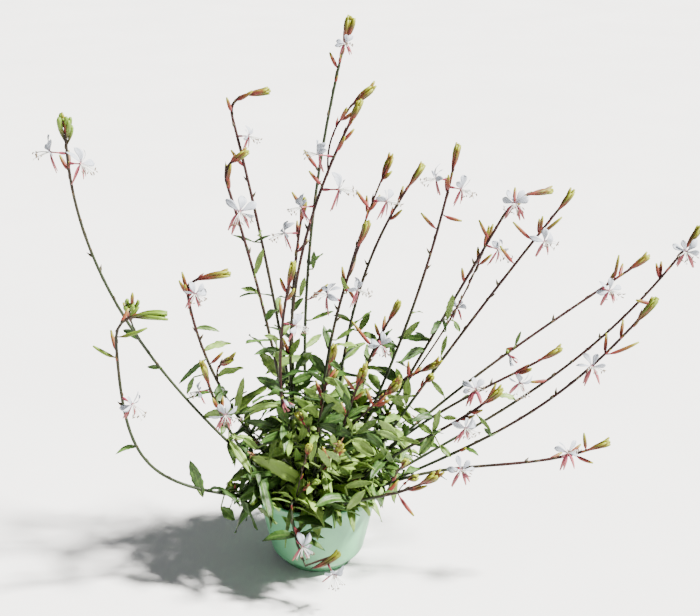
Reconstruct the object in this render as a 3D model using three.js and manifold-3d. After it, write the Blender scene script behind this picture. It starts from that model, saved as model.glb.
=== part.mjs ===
// A potted gaura: a small nursery pot, its soil, leafy arching stems and open flowers.
// Millimetres, +Z up. The origin is the middle of the pot's underside, and -Y is the front.

import * as THREE from 'three';
import { mergeVertices } from 'three/addons/utils/BufferGeometryUtils.js';
import Module from 'manifold-3d';

const wasm = await Module();
wasm.setup();

// Driving dimensions of the pot and its soil. The wall slopes from its base radius at the ground to the
// rim, but low down it bends in to the foot, which is what the pot stands on.
const potHeight = 83.5;
const rimRadius = 63.5;
const baseRadius = 45;
const footRadius = 37;
const footHeight = 7;
const bendRadius = 12;
const bendFacets = 3;
const wallThickness = 1.8;
const floorThickness = 2.4;
const lipWidth = 3.2;
const lipDepth = 7;
const drainCount = 6;
const drainRadius = 5;
const drainPlace = 26;
const potSides = 24;
const soilTop = 69;
const soilRelief = 1.6;
const plantDepth = 16;
const clearance = 0.3;
const bloomGap = 0.1;
const lipRadius = rimRadius + 0.4 * lipWidth;
const drainSides = 10;

// Driving dimensions of the plant.
const stemFootRadius = 1.5;
const stemTipRadius = 0.8;
const stemSides = 4;
const ringEvery = 78;
const nodRings = 4;
const nodShare = 0.16;
const nodReach = 0.6;
const footRise = 3;
const fullTurn = 137.5;
const budLength = 17;
const budRadius = 1.8;
const budWidest = 0.6;
const budSides = 3;
const budTop = 0.994;
const budEvery = 0.012;
const budLean = 0.7;
const capsuleLength = 8;
const capsuleRadius = 1.6;
const capsuleWidest = 0.5;
const capsuleFirst = 0.66;
const capsuleEvery = 0.035;
const capsuleLean = 0.8;
const wiltedLength = 16;
const wiltedRadius = 1.9;
const wiltedWidest = 0.7;
const leafLongest = 62;
const leafAspect = 0.27;
const leafNarrowest = 4.5;
const leafRoll = 75;
const leafZoneLow = 25;
const leafZoneTall = 155;
const leafZoneMost = 0.75;
const moundRadius = 100;
const lowestLeaf = 8;
const upperLeaves = 1;
const upperSize = 0.42;
const upperStretch = 0.25;
const sizeDrop = 0.4;
const skirtLeaves = 4;
const skirtLowest = 18;
const skirtSpread = 70;
const frontSkirtLeaves = 8;
const frontEdge = -12;
const leafKeel = 0.085;
const leafWave = 0.12;
const leafFold = 0.18;
const longLeaf = { from: 44, stations: [0.28, 0.5, 0.76], teeth: [1, 0.8, 0.96] };
const shortLeaf = { from: 36, stations: [0.35, 0.72], teeth: [1, 0.9] };
const smallLeaf = { from: 0, stations: [0.5], teeth: [1] };
const petioleRadius = 0.6;
const petalLength = 15.5;
const petalWidth = 9;
const sepalLength = 20;
const sepalWidth = 2.6;
const stamenLength = 13;
const ovaryLength = 6;
const ovaryRadius = 1.3;
const hubRadius = 2;
const tubeLength = 8;
const bladeThickness = 0.8;
const rootDepth = 0.9;
const smallestDetail = 0.16;
const scrapVolume = 1;

// How near leaves of different pieces may come, measured between points on their surfaces.
const leafSpacing = 5;
const ownLeafSpacing = 4;
const sampleStep = 4.5;
const leafTries = 60;
const stemSamples = 120;
const leafClearance = 3;

const colours = {
  pot: 0xa9d3bd,
  soil: 0x1d1815,
  stem: 0x6f8a3c,
  petal: 0xf6f3f5,
};

// Each stem leaves the soil at its foot and runs to its tip. Its bow swings the middle off the straight
// line, its rise shifts the lower third, and its nod is the last stretch, turned over from the tip.
const stems = [
  {
    name: 'stem_tallest',
    foot: [-6, 14], tip: [34, 70, 548], bow: [-22, 0, 0],
    leaves: 11, buds: 4, capsules: 2,
  },
  {
    name: 'stem_far_left',
    foot: [-34, 2], tip: [-218, -60, 480], bow: [-60, 5, -17], rise: [14, 0, 0],
    leaves: 7, buds: 4, capsules: 2,
    branches: [{ at: 0.45, tip: [-172, -48, 300], bow: [-8, 0, 4], buds: 2 }],
  },
  {
    name: 'stem_low_left',
    foot: [-4, -22], tip: [-180, -95, 280], bow: [-46, -8, -62], rise: [-18, 0, 22], nod: [46, -15, 32],
    leaves: 5, buds: 4, capsules: 2,
  },
  {
    name: 'stem_left',
    foot: [-24, 12], tip: [-123, -15, 293], bow: [-18, 0, 0], nod: [36, -5, 28],
    leaves: 8, buds: 3, capsules: 2,
    branches: [{ at: 0.5, tip: [-86, -22, 232], bow: [-4, 0, 3], buds: 2 }],
  },
  {
    name: 'stem_left_short',
    foot: [-30, -24], tip: [-104, -70, 243], bow: [-12, 0, 0],
    leaves: 9, buds: 3, capsules: 1,
  },
  {
    name: 'stem_hook_back',
    foot: [-16, 28], tip: [-81, 55, 457], bow: [6, 0, 0], nod: [31, 5, 24],
    leaves: 10, buds: 3, capsules: 2,
  },
  {
    name: 'stem_hook_front',
    foot: [-20, -2], tip: [-83, 0, 404], bow: [8, 0, 0], nod: [15, 0, 29],
    leaves: 10, buds: 3, capsules: 2,
  },
  {
    name: 'stem_twin',
    foot: [-4, 2], tip: [42, 20, 475], bow: [-42, 0, 0],
    leaves: 11, buds: 3, capsules: 2,
    branches: [{ at: 0.84, tip: [51, 34, 486], bow: [-12, 0, 4], buds: 3 }],
  },
  {
    name: 'stem_middle_left',
    foot: [-12, 40], tip: [-12, 44, 372], bow: [-14, 4, 0],
    leaves: 10, buds: 3, capsules: 2,
  },
  {
    name: 'stem_red_tip',
    foot: [-12, -14], tip: [-20, -45, 335], bow: [-18, 0, 0],
    leaves: 12, buds: 4, capsules: 1, wilted: { at: 0.46, bearing: -20 },
  },
  {
    name: 'stem_middle',
    foot: [6, -12], tip: [50, 15, 357], bow: [-18, 0, 0],
    leaves: 12, buds: 3, capsules: 2,
    branches: [{ at: 0.7, tip: [72, 40, 415], bow: [-4, 0, 0], buds: 3 }],
  },
  {
    name: 'stem_middle_right',
    foot: [10, 30], tip: [105, 80, 398], bow: [-36, 0, 0], rise: [14, 0, 0],
    leaves: 11, buds: 3, capsules: 2,
  },
  {
    name: 'stem_right_tall',
    foot: [16, 14], tip: [140, 60, 422], bow: [14, 0, 0],
    leaves: 11, buds: 4, capsules: 2,
  },
  {
    name: 'stem_right_arch',
    foot: [30, 24], tip: [187, 60, 352], bow: [0, 0, 0], nod: [47, 15, 25],
    leaves: 9, buds: 3, capsules: 2,
    branches: [{ at: 0.3, tip: [179, 95, 325], bow: [10, 0, 0], buds: 3 }],
  },
  {
    name: 'stem_right_long',
    foot: [34, 8], tip: [251, 40, 382], bow: [-5, 0, 0],
    leaves: 6, buds: 4, capsules: 2,
  },
  {
    name: 'stem_far_right_upper',
    foot: [26, 2], tip: [335, 60, 309], bow: [0, 0, 8], rise: [0, 0, 8],
    leaves: 5, buds: 4, capsules: 2, wilted: { at: 0.55, bearing: -20 },
  },
  {
    name: 'stem_far_right',
    foot: [40, -4], tip: [376, 20, 352], bow: [10, 0, -46], rise: [0, 0, 22],
    leaves: 5, buds: 4, capsules: 2,
  },
  {
    name: 'stem_right_low',
    foot: [36, -16], tip: [322, -40, 299], bow: [0, 0, -50], rise: [0, 0, 24],
    leaves: 5, buds: 4, capsules: 2,
  },
  {
    name: 'stem_right_inner',
    foot: [24, -10], tip: [237, -15, 238], bow: [0, 0, 8], rise: [0, 0, 14],
    leaves: 6, buds: 3, capsules: 2,
  },
  {
    name: 'stem_right_level',
    foot: [30, -26], tip: [284, -50, 154], bow: [0, 0, -12], rise: [0, 0, 26],
    leaves: 5, buds: 4, capsules: 2,
  },
  {
    name: 'stem_right_front',
    foot: [20, -24], tip: [173, -80, 223], bow: [0, 0, -6], rise: [0, 0, 16],
    leaves: 8, buds: 3, capsules: 1,
  },
  {
    name: 'stem_over_rim',
    foot: [0, -44], tip: [114, -115, 153], bow: [-4, -6, -8], rise: [0, -2, 12],
    leaves: 8, buds: 3, capsules: 1,
  },
  {
    name: 'stem_drooping',
    foot: [-14, -40], tip: [-14, -86, 47], bow: [-10, -4, 28], rise: [0, 0, 8], nod: [36, -12, 12],
    leaves: 9, buds: 3, capsules: 1,
  },
  {
    name: 'stem_short_front',
    foot: [-2, -30], tip: [18, -30, 244], bow: [-6, 0, 0],
    leaves: 12, buds: 3, capsules: 0,
    branches: [{ at: 0.22, tip: [23, -95, 172], bow: [0, -6, 4], buds: 3 }],
  },
  {
    name: 'stem_orange_buds',
    foot: [10, -2], tip: [47, -50, 232], bow: [-4, 0, 0],
    leaves: 12, buds: 4, capsules: 0,
    branches: [{ at: 0.5, tip: [78, -58, 222], bow: [0, 0, 0], buds: 3 }],
  },
  {
    name: 'stem_short_right',
    foot: [22, 38], tip: [81, 12, 276], bow: [-10, 8, 0],
    leaves: 12, buds: 3, capsules: 1,
    branches: [{ at: 0.35, tip: [117, 0, 217], bow: [0, 0, 4], buds: 3 }],
  },
];

// Each bloom stands on its stem at a share of the way along, faces a bearing from +X and a pitch up.
const blooms = [
  { stem: 'stem_tallest', at: 0.95, bearing: -80, pitch: 20, scale: 0.7 },
  { stem: 'stem_far_left', at: 0.93, bearing: 200, pitch: 10, scale: 1 },
  { stem: 'stem_far_left', at: 0.91, bearing: -30, pitch: 5, scale: 1 },
  { stem: 'stem_low_left', at: 0.72, bearing: -40, pitch: -10, scale: 1 },
  { stem: 'stem_left', at: 0.88, bearing: -60, pitch: -5, scale: 1 },
  { stem: 'stem_left_short', at: 0.72, bearing: -60, pitch: 0, scale: 1 },
  { stem: 'stem_left_short', at: 0.86, bearing: 200, pitch: 0, scale: 0.7 },
  { stem: 'stem_hook_back', at: 0.8, bearing: -20, pitch: 5, scale: 0.8 },
  { stem: 'stem_hook_front', at: 0.78, bearing: -70, pitch: 5, scale: 1.2 },
  { stem: 'stem_twin', at: 0.88, bearing: 190, pitch: 10, scale: 1 },
  { stem: 'stem_twin', at: 0.8, bearing: -15, pitch: 5, scale: 1.2 },
  { stem: 'stem_twin', at: 0.76, bearing: -160, pitch: 0, scale: 0.9 },
  { stem: 'stem_middle_left', at: 0.9, bearing: 200, pitch: 5, scale: 1 },
  { stem: 'stem_red_tip', at: 0.78, bearing: -20, pitch: 0, scale: 0.9 },
  { stem: 'stem_middle', at: 0.74, bearing: 190, pitch: 30, scale: 1 },
  { stem: 'stem_middle', branch: 0, at: 0.75, bearing: -30, pitch: 5, scale: 1 },
  { stem: 'stem_right_tall', at: 0.92, bearing: 190, pitch: 5, scale: 1 },
  { stem: 'stem_right_tall', at: 0.9, bearing: -40, pitch: 0, scale: 1 },
  { stem: 'stem_right_arch', at: 0.9, bearing: -100, pitch: 10, scale: 1.1 },
  { stem: 'stem_right_arch', at: 0.76, bearing: -40, pitch: -5, scale: 1 },
  { stem: 'stem_right_arch', branch: 0, at: 0.5, bearing: 70, pitch: 5, scale: 0.8 },
  { stem: 'stem_right_long', at: 0.86, bearing: -60, pitch: 5, scale: 1 },
  { stem: 'stem_far_right_upper', at: 0.86, bearing: -70, pitch: 10, scale: 1 },
  { stem: 'stem_far_right', at: 0.96, bearing: -100, pitch: 5, scale: 1 },
  { stem: 'stem_right_low', at: 0.8, bearing: -80, pitch: 36, scale: 1 },
  { stem: 'stem_right_inner', at: 0.82, bearing: -80, pitch: -20, scale: 1 },
  { stem: 'stem_right_level', at: 0.84, bearing: -70, pitch: 40, scale: 1 },
  { stem: 'stem_right_front', at: 0.76, bearing: -60, pitch: -5, scale: 1 },
  { stem: 'stem_drooping', at: 0.72, bearing: -65, pitch: 0, scale: 1 },
  { stem: 'stem_drooping', at: 0.97, bearing: -60, pitch: -30, scale: 0.9 },
  { stem: 'stem_short_right', at: 0.8, bearing: -80, pitch: 0, scale: 0.9 },
  { stem: 'stem_right_level', at: 0.44, bearing: -80, pitch: 20, scale: 1 },
];

// Two blooms grow in one body with their stems.
const fusedBlooms = [
  { stem: 'stem_middle', at: 0.78, bearing: -20, pitch: 5, scale: 1, fused: true },
  { stem: 'stem_right_inner', at: 0.62, bearing: -80, pitch: 45, scale: 1, fused: true },
];

// A repeatable draw between 0 and 1.
function draws(seed) {
  let state = seed * 7919 + 104729;
  const next = () => {
    state = (state * 16807) % 2147483647;
    return state / 2147483647;
  };
  next();
  next();
  return next;
}

function add(a, b, scale = 1) {
  return [a[0] + b[0] * scale, a[1] + b[1] * scale, a[2] + b[2] * scale];
}

function cross(a, b) {
  return [a[1] * b[2] - a[2] * b[1], a[2] * b[0] - a[0] * b[2], a[0] * b[1] - a[1] * b[0]];
}

function unit(a) {
  const length = Math.sqrt(a[0] * a[0] + a[1] * a[1] + a[2] * a[2]);
  return [a[0] / length, a[1] / length, a[2] / length];
}

function gap(a, b) {
  const d = add(a, b, -1);
  return Math.sqrt(d[0] * d[0] + d[1] * d[1] + d[2] * d[2]);
}

function heading(bearing, pitch) {
  const turn = (bearing * Math.PI) / 180;
  const lift = (pitch * Math.PI) / 180;
  return [Math.cos(turn) * Math.cos(lift), Math.sin(turn) * Math.cos(lift), Math.sin(lift)];
}

// The sideways and face directions of a blade that runs along a heading.
function bladeFrame(along, roll) {
  const flat = unit(cross(along, [0, 0, 1]));
  const face = cross(flat, along);
  const turn = (roll * Math.PI) / 180;
  const side = unit(add(add([0, 0, 0], flat, Math.cos(turn)), face, Math.sin(turn)));
  return { side, face: cross(side, along) };
}

// A point of the main run of a stem, before its nod. Swing and early both reach 1 at their greatest.
function runPoint(stem, start, share) {
  const swing = 4 * share * (1 - share);
  const early = (27 / 4) * share * (1 - share) * (1 - share);
  return [0, 1, 2].map((i) => {
    const straight = start[i] + (stem.tip[i] - start[i]) * share;
    return straight + stem.bow[i] * swing + (stem.rise ? stem.rise[i] * early : 0);
  });
}

function stemStart(stem) {
  return stem.start ?? [stem.foot[0], stem.foot[1], soilTop + footRise];
}

function stemPoint(stem, share) {
  const start = stemStart(stem);
  if (!stem.nod) return runPoint(stem, start, share);
  const run = 1 - nodShare;
  if (share <= run) return runPoint(stem, start, share / run);
  const w = (share - run) / nodShare;
  const heads = unit(add(runPoint(stem, start, 1), runPoint(stem, start, 0.98), -1));
  const reach = nodReach * gap(stem.nod, [0, 0, 0]);
  const bend = add(stem.tip, heads, reach);
  const end = add(stem.tip, stem.nod);
  return [0, 1, 2].map((i) => {
    return (1 - w) * (1 - w) * stem.tip[i] + 2 * w * (1 - w) * bend[i] + w * w * end[i];
  });
}

function stemLength(stem) {
  return gap(stemStart(stem), stem.tip);
}

function stemHeading(stem, share) {
  const low = Math.min(share, 0.99);
  return unit(add(stemPoint(stem, low + 0.01), stemPoint(stem, low), -1));
}

function stemRadius(share) {
  return stemFootRadius + (stemTipRadius - stemFootRadius) * share;
}

// A branch is a stem that starts on its parent.
function branchOf(stem, branch) {
  return { ...branch, start: tubePoint(stem, branch.at), branch: true };
}

// A closed body from rings of corners. Each end is capped, or drawn out to a point.
function loft(rings, root, tip) {
  const sides = rings[0].length;
  const corners = rings.flat();
  const faces = [];
  for (let ring = 0; ring + 1 < rings.length; ring += 1) {
    for (let i = 0; i < sides; i += 1) {
      const a = ring * sides + i;
      const b = ring * sides + ((i + 1) % sides);
      faces.push(a, b, a + sides, b, b + sides, a + sides);
    }
  }
  const last = (rings.length - 1) * sides;
  const ends = corners.length;
  for (let i = 0; i < sides; i += 1) {
    const next = (i + 1) % sides;
    if (root) faces.push(next, i, ends);
    else if (i > 0 && next > 0) faces.push(0, next, i);
    if (tip) faces.push(last + i, last + next, ends + (root ? 1 : 0));
    else if (i > 0 && next > 0) faces.push(last, last + i, last + next);
  }
  return solidOf([...corners, ...[root, tip].filter(Boolean)], faces);
}

// A closed body from corners and triangles, turned so that its faces point out.
function solidOf(corners, faces) {
  const volume = faces.reduce((sum, _, i) => {
    if (i % 3) return sum;
    const [a, b, c] = [corners[faces[i]], corners[faces[i + 1]], corners[faces[i + 2]]];
    const n = cross(b, c);
    return sum + a[0] * n[0] + a[1] * n[1] + a[2] * n[2];
  }, 0);
  const order = volume < 0 ? faces.map((_, i) => faces[i + [0, 1, -1][i % 3]]) : faces;
  const geometry = new THREE.BufferGeometry();
  geometry.setAttribute('position', new THREE.Float32BufferAttribute(corners.flat(), 3));
  geometry.setIndex(order);
  return toManifold(geometry);
}

function toManifold(geometry) {
  const bare = geometry.clone();
  bare.deleteAttribute('normal');
  bare.deleteAttribute('uv');
  const merged = mergeVertices(bare, 1e-4);
  const mesh = new wasm.Mesh({
    numProp: 3,
    vertProperties: Float32Array.from(merged.attributes.position.array),
    triVerts: Uint32Array.from(merged.index.array),
  });
  return new wasm.Manifold(mesh);
}

function toGeometry(solid) {
  const mesh = solid.getMesh();
  const geometry = new THREE.BufferGeometry();
  geometry.setAttribute('position', new THREE.BufferAttribute(mesh.vertProperties, 3));
  geometry.setIndex(new THREE.BufferAttribute(mesh.triVerts, 1));
  const flat = geometry.toNonIndexed();
  flat.computeVertexNormals();
  return flat;
}

function join(solids) {
  return wasm.Manifold.union(solids);
}

// One body: the joins' slivers are merged away, and a scrap too small to see is dropped.
function clean(solid) {
  const bodies = solid.asOriginal().simplify(smallestDetail).decompose();
  const kept = bodies.filter((body) => body.volume() > scrapVolume);
  return kept.length === 1 ? kept[0] : solid;
}

// A fixed direction to measure a ring's corners from, well away from its heading.
function acrossFrom(along) {
  return Math.abs(along[1]) > 0.7 ? [1, 0, 0] : [0, 1, 0];
}

// A round ring of corners about a point, square to a heading.
function roundRing(centre, along, radius, sides, other = acrossFrom(along)) {
  const across = unit(cross(other, along));
  const over = cross(along, across);
  return Array.from({ length: sides }, (_, i) => {
    const turn = (2 * Math.PI * i) / sides;
    return add(add(centre, across, radius * Math.cos(turn)), over, radius * Math.sin(turn));
  });
}

// The turned shares along a stem at which its tube has a ring.
function ringShares(stem) {
  const run = stem.nod ? 1 - nodShare : 1;
  const rings = Math.max(3, Math.round(stemLength(stem) / ringEvery));
  const shares = Array.from({ length: rings }, (_, i) => (run * (i + 1)) / rings);
  for (let i = 1; stem.nod && i <= nodRings; i += 1) {
    shares.push(run + (nodShare * i) / nodRings);
  }
  return shares;
}

// A point of the tube itself, which runs straight from ring to ring.
function tubePoint(stem, share) {
  const shares = [0, ...ringShares(stem)];
  const next = Math.max(1, shares.findIndex((value) => value >= share - 1e-9));
  const [low, high] = [shares[next - 1], shares[next]];
  const [from, to] = [stemPoint(stem, low), stemPoint(stem, high)];
  return add(from, add(to, from, -1), (share - low) / (high - low));
}

function stemTube(stem) {
  const start = stemStart(stem);
  const other = acrossFrom(unit(add(stem.tip, start, -1)));
  const rings = [];
  if (stem.branch) {
    rings.push(roundRing(start, stemHeading(stem, 0), stemTipRadius, stemSides, other));
  } else {
    const bottom = [start[0], start[1], soilTop - plantDepth];
    rings.push(roundRing(bottom, [0, 0, 1], stemFootRadius, stemSides, other));
    rings.push(roundRing(start, [0, 0, 1], stemFootRadius, stemSides, other));
  }
  for (const share of ringShares(stem)) {
    const radius = stem.branch ? stemTipRadius : stemRadius(share);
    rings.push(roundRing(stemPoint(stem, share), stemHeading(stem, share), radius, stemSides, other));
  }
  return loft(rings);
}

// A pointed spindle, for buds and seed capsules, with its root sunk in the stem.
function spindle({ base, along, length, radius, widest }) {
  const ring = roundRing(add(base, along, length * widest), along, radius, budSides);
  return loft([ring], add(base, along, -rootDepth), add(base, along, length));
}

// Buds crowd the tip of a stem, and longer ones stand out below it.
function budPlan(stem, seed) {
  const random = draws(seed);
  return Array.from({ length: stem.buds }, (_, i) => {
    const share = budTop - budEvery * i;
    const along = stemHeading(stem, share);
    const out = heading(fullTurn * i + 40 * random(), 20 + 30 * random());
    return {
      base: tubePoint(stem, share),
      along: unit(add(along, out, i === 0 ? 0 : budLean)),
      length: budLength * (i === 0 ? 0.7 : 0.6 + 0.08 * i + 0.25 * random()),
      radius: budRadius,
      widest: budWidest,
    };
  });
}

// Seed capsules sit close along the stretch below the open flowers.
function capsulePlan(stem, seed) {
  const random = draws(seed);
  return Array.from({ length: stem.capsules ?? 0 }, (_, i) => {
    const share = capsuleFirst + capsuleEvery * i + 0.01 * random();
    const along = stemHeading(stem, share);
    const out = heading(fullTurn * i + 60 * random(), 0);
    return {
      base: tubePoint(stem, share),
      along: unit(add(along, out, capsuleLean)),
      length: capsuleLength,
      radius: capsuleRadius,
      widest: capsuleWidest,
    };
  });
}

// A withered flower hangs from its stem as a small bunch of limp petals.
function wiltedPlan(stem) {
  if (!stem.wilted) return [];
  return [-1, 0, 1].map((i) => ({
    base: tubePoint(stem, stem.wilted.at),
    along: heading(stem.wilted.bearing + 25 * i, -35 - 10 * i),
    length: wiltedLength,
    radius: wiltedRadius,
    widest: wiltedWidest,
  }));
}

// A leaf's middle line: straight out along its heading, then bent down by its droop.
function leafPoint(leaf, share, across) {
  const half = leaf.width / 2;
  const reach = add(leaf.base, leaf.along, leaf.length * share);
  const middle = add(reach, [0, 0, -1], leaf.droop * leaf.length * share * share);
  const fold = leafFold * half * Math.abs(across);
  return add(add(middle, leaf.side, across * half * leafOutline(share)), leaf.face, fold);
}

function leafOutline(share) {
  return Math.pow(Math.max(0, Math.sin(Math.PI * share)), 0.7) * (1 - 0.1 * share) + 0.06;
}

// The blade's stations carry the shallow teeth of its edge, and its edges wave to either side.
function leafBlade(leaf) {
  const keelDepth = Math.max(leafKeel * leaf.width, bladeThickness);
  const { stations, teeth } = [longLeaf, shortLeaf, smallLeaf].find(({ from }) => leaf.length > from);
  const petiole = [
    add(leaf.base, leaf.side, petioleRadius),
    add(leaf.base, leaf.side, -petioleRadius),
    add(leaf.base, leaf.face, -petioleRadius * 1.6),
  ];
  const rings = stations.map((share, i) => {
    const tooth = teeth[i];
    const wave = leafWave * leaf.width * Math.sin(leaf.waves * (i + 1));
    const left = add(leafPoint(leaf, share, -tooth), leaf.face, wave);
    const right = add(leafPoint(leaf, share, tooth), leaf.face, -wave);
    return [right, left, add(leafPoint(leaf, share, 0), leaf.face, -keelDepth)];
  });
  return loft([petiole, ...rings], null, leafPoint(leaf, 1, 0));
}

// Points on a leaf, close enough that two crossing leaves always bring two of them together.
function leafSamples(leaf) {
  const rows = Math.ceil(leaf.length / sampleStep);
  const columns = Math.max(1, Math.ceil(leaf.width / sampleStep));
  const points = [];
  for (let row = 1; row <= rows; row += 1) {
    for (let column = 0; column <= columns; column += 1) {
      points.push(leafPoint(leaf, row / rows, (2 * column) / columns - 1));
    }
  }
  return points;
}

// The parts of a bloom share one frame: forward out of the tube, up and sideways across it.
function bloomFrame(bloom) {
  const stem = stemOf(bloom);
  const forward = heading(bloom.bearing, bloom.pitch);
  const side = unit(cross(forward, [0, 0, 1]));
  const up = cross(side, forward);
  const radius = stem.branch ? stemTipRadius : stemRadius(bloom.at);
  const lift = bloom.fused ? 0 : radius + clearance + bloomGap;
  const base = add(tubePoint(stem, bloom.at), forward, lift);
  const throat = add(base, forward, (ovaryLength + tubeLength) * bloom.scale);
  return { forward, side, up, base, throat, scale: bloom.scale };
}

function stemOf(bloom) {
  const stem = stems.find((entry) => entry.name === bloom.stem);
  return bloom.branch === undefined ? stem : branchOf(stem, stem.branches[bloom.branch]);
}

function inFrame(frame, forward, side, up) {
  return [0, 1, 2].map((i) => forward * frame.forward[i] + side * frame.side[i] + up * frame.up[i]);
}

// Petals fan over the upper half of the flower, narrow at the claw and broad near the end.
function petalPoint(frame, turn, share, across) {
  const angle = (turn * Math.PI) / 180;
  const length = petalLength * frame.scale;
  const half = (petalWidth * frame.scale) / 2;
  const width = half * (0.18 + 0.82 * Math.pow(Math.sin(Math.PI * Math.pow(share, 1.5) * 0.9), 0.8));
  const aside = inFrame(frame, 0, Math.sin(angle), Math.cos(angle));
  const root = add(frame.throat, aside, hubRadius * 0.6 * frame.scale);
  const out = inFrame(frame, 0.12 - 0.1 * share, Math.sin(angle), Math.cos(angle));
  const wide = inFrame(frame, 0, Math.cos(angle), -Math.sin(angle));
  return add(add(root, out, length * share), wide, width * across);
}

// Sepals bend back and hang below and beside the tube.
function sepalPoint(frame, turn, share) {
  const angle = (turn * Math.PI) / 180;
  const reach = sepalLength * frame.scale * share;
  const aside = inFrame(frame, -0.5, Math.sin(angle), Math.cos(angle));
  const root = add(frame.throat, aside, hubRadius * 0.5 * frame.scale);
  const out = inFrame(frame, -0.2 - 0.4 * share, Math.sin(angle), Math.cos(angle));
  return add(root, out, reach);
}

// Stamens droop forward in a spread below the petals.
function stamenTip(frame, turn) {
  const spread = Math.sin((turn * Math.PI) / 180) * 0.8;
  return add(frame.throat, inFrame(frame, 0.75, spread, -0.5), stamenLength * frame.scale);
}

const petalTurns = [-76, -28, 28, 76];
const sepalTurns = [-155, -111, 111, 155];
const stamenTurns = [-155, -111, 111, 155];

// The hub's corners lie between the things that grow from its eight sides.
const hubTurns = [-180, -130, -93, -52, 0, 52, 93, 130];
const sideTurns = [-155, -111, -76, -28, 28, 76, 111, 155];

// A ring of the hub's corners, at a distance before or behind the throat.
function hubRing(frame, forward, radius) {
  return hubTurns.map((turn) => {
    const angle = (turn * Math.PI) / 180;
    const out = inFrame(frame, forward, radius * Math.sin(angle), radius * Math.cos(angle));
    return add(frame.throat, out, frame.scale);
  });
}

// The four corners of a thin blade's section, back edge first.
function bladeCorners(left, right, frame) {
  const back = bladeThickness;
  return [add(left, frame.forward, -back), add(right, frame.forward, -back), right, left];
}

function petalRings(frame, turn) {
  return [0.62, 1].map((share) => {
    return bladeCorners(petalPoint(frame, turn, share, -1), petalPoint(frame, turn, share, 1), frame);
  });
}

function sepalRings(frame, turn) {
  const angle = (turn * Math.PI) / 180;
  const half = (sepalWidth * frame.scale) / 2;
  const across = inFrame(frame, 0, Math.cos(angle) * half, -Math.sin(angle) * half);
  const middle = sepalPoint(frame, turn, 0.45);
  return [bladeCorners(add(middle, across, -1), add(middle, across), frame)];
}

function bloomSolid(bloom) {
  const frame = bloomFrame(bloom);
  const { base, forward, throat, scale } = frame;
  const corners = [];
  const faces = [];
  const place = (points) => points.map((point) => corners.push(point) - 1);
  const band = (low, high) => {
    low.forEach((a, i) => {
      const next = (i + 1) % low.length;
      faces.push(a, low[next], high[i], low[next], high[next], high[i]);
    });
  };
  const drawOut = (loop, rings, tip) => {
    let low = loop;
    for (const ring of rings) {
      const high = place(ring);
      band(low, high);
      low = high;
    }
    if (!tip) {
      faces.push(low[0], low[1], low[2], low[0], low[2], low[3]);
      return;
    }
    const [point] = place([tip]);
    low.forEach((a, i) => faces.push(a, low[(i + 1) % low.length], point));
  };
  const square = (centre, radius) => {
    return place([-180, -93, 0, 93].map((turn) => {
      const angle = (turn * Math.PI) / 180;
      const out = inFrame(frame, 0, Math.sin(angle), Math.cos(angle));
      return add(centre, out, radius * scale);
    }));
  };
  const foot = square(base, ovaryRadius * 0.6);
  faces.push(foot[0], foot[2], foot[1], foot[0], foot[3], foot[2]);
  const ovary = square(add(base, forward, ovaryLength * 0.5 * scale), ovaryRadius);
  band(foot, ovary);
  const back = place(hubRing(frame, -hubRadius * 0.5, hubRadius * 0.8));
  ovary.forEach((a, i) => {
    const b = ovary[(i + 1) % 4];
    const [left, middle, right] = [back[2 * i], back[2 * i + 1], back[(2 * i + 2) % 8]];
    faces.push(a, middle, left, a, b, middle, b, right, middle);
  });
  const front = place(hubRing(frame, hubRadius * 0.3, hubRadius * 0.8));
  const [centre] = place([add(throat, forward, hubRadius * 0.5 * scale)]);
  sideTurns.forEach((turn, i) => {
    const next = (i + 1) % 8;
    const loop = [back[i], back[next], front[next], front[i]];
    if (petalTurns.includes(turn)) drawOut(loop, petalRings(frame, turn));
    else drawOut(loop, sepalRings(frame, turn), sepalPoint(frame, turn, 1));
    if (stamenTurns.includes(turn)) drawOut([front[i], front[next], centre], [], stamenTip(frame, turn));
    else faces.push(front[i], front[next], centre);
  });
  return solidOf(corners, faces);
}

function bloomSamples(bloom) {
  const frame = bloomFrame(bloom);
  const shares = [0.25, 0.5, 0.75, 1];
  const reach = gap(frame.base, frame.throat);
  const points = shares.map((share) => add(frame.base, frame.forward, share * reach));
  for (const turn of petalTurns) {
    for (const share of shares) {
      for (const across of [-1, 0, 1]) points.push(petalPoint(frame, turn, share, across));
    }
  }
  for (const turn of sepalTurns) {
    for (const share of shares) points.push(sepalPoint(frame, turn, share));
  }
  for (const turn of stamenTurns) {
    const tip = stamenTip(frame, turn);
    points.push(tip, add(frame.throat, add(tip, frame.throat, -1), 0.5));
  }
  return points;
}

// A grid of cells that finds the taken points near a place.
class Taken {
  constructor(cell) {
    this.cell = cell;
    this.cells = new Map();
  }

  key(x, y, z) {
    return `${x},${y},${z}`;
  }

  add(point, owner, line = false) {
    const [x, y, z] = point.map((value) => Math.floor(value / this.cell));
    const key = this.key(x, y, z);
    if (!this.cells.has(key)) this.cells.set(key, []);
    this.cells.get(key).push({ point, owner, line });
  }

  // True where a point of another owner, or of the same one, is too near.
  near(point, owner) {
    const [x, y, z] = point.map((value) => Math.floor(value / this.cell));
    for (let i = x - 1; i <= x + 1; i += 1) {
      for (let j = y - 1; j <= y + 1; j += 1) {
        for (let k = z - 1; k <= z + 1; k += 1) {
          for (const entry of this.cells.get(this.key(i, j, k)) ?? []) {
            if (entry.owner === owner && entry.line) continue;
            const limit = entry.owner === owner ? ownLeafSpacing : leafSpacing;
            if (gap(entry.point, point) < limit) return true;
          }
        }
      }
    }
    return false;
  }
}

function potRadiusAt(height) {
  return baseRadius + ((rimRadius - baseRadius) * height) / potHeight;
}

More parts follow.
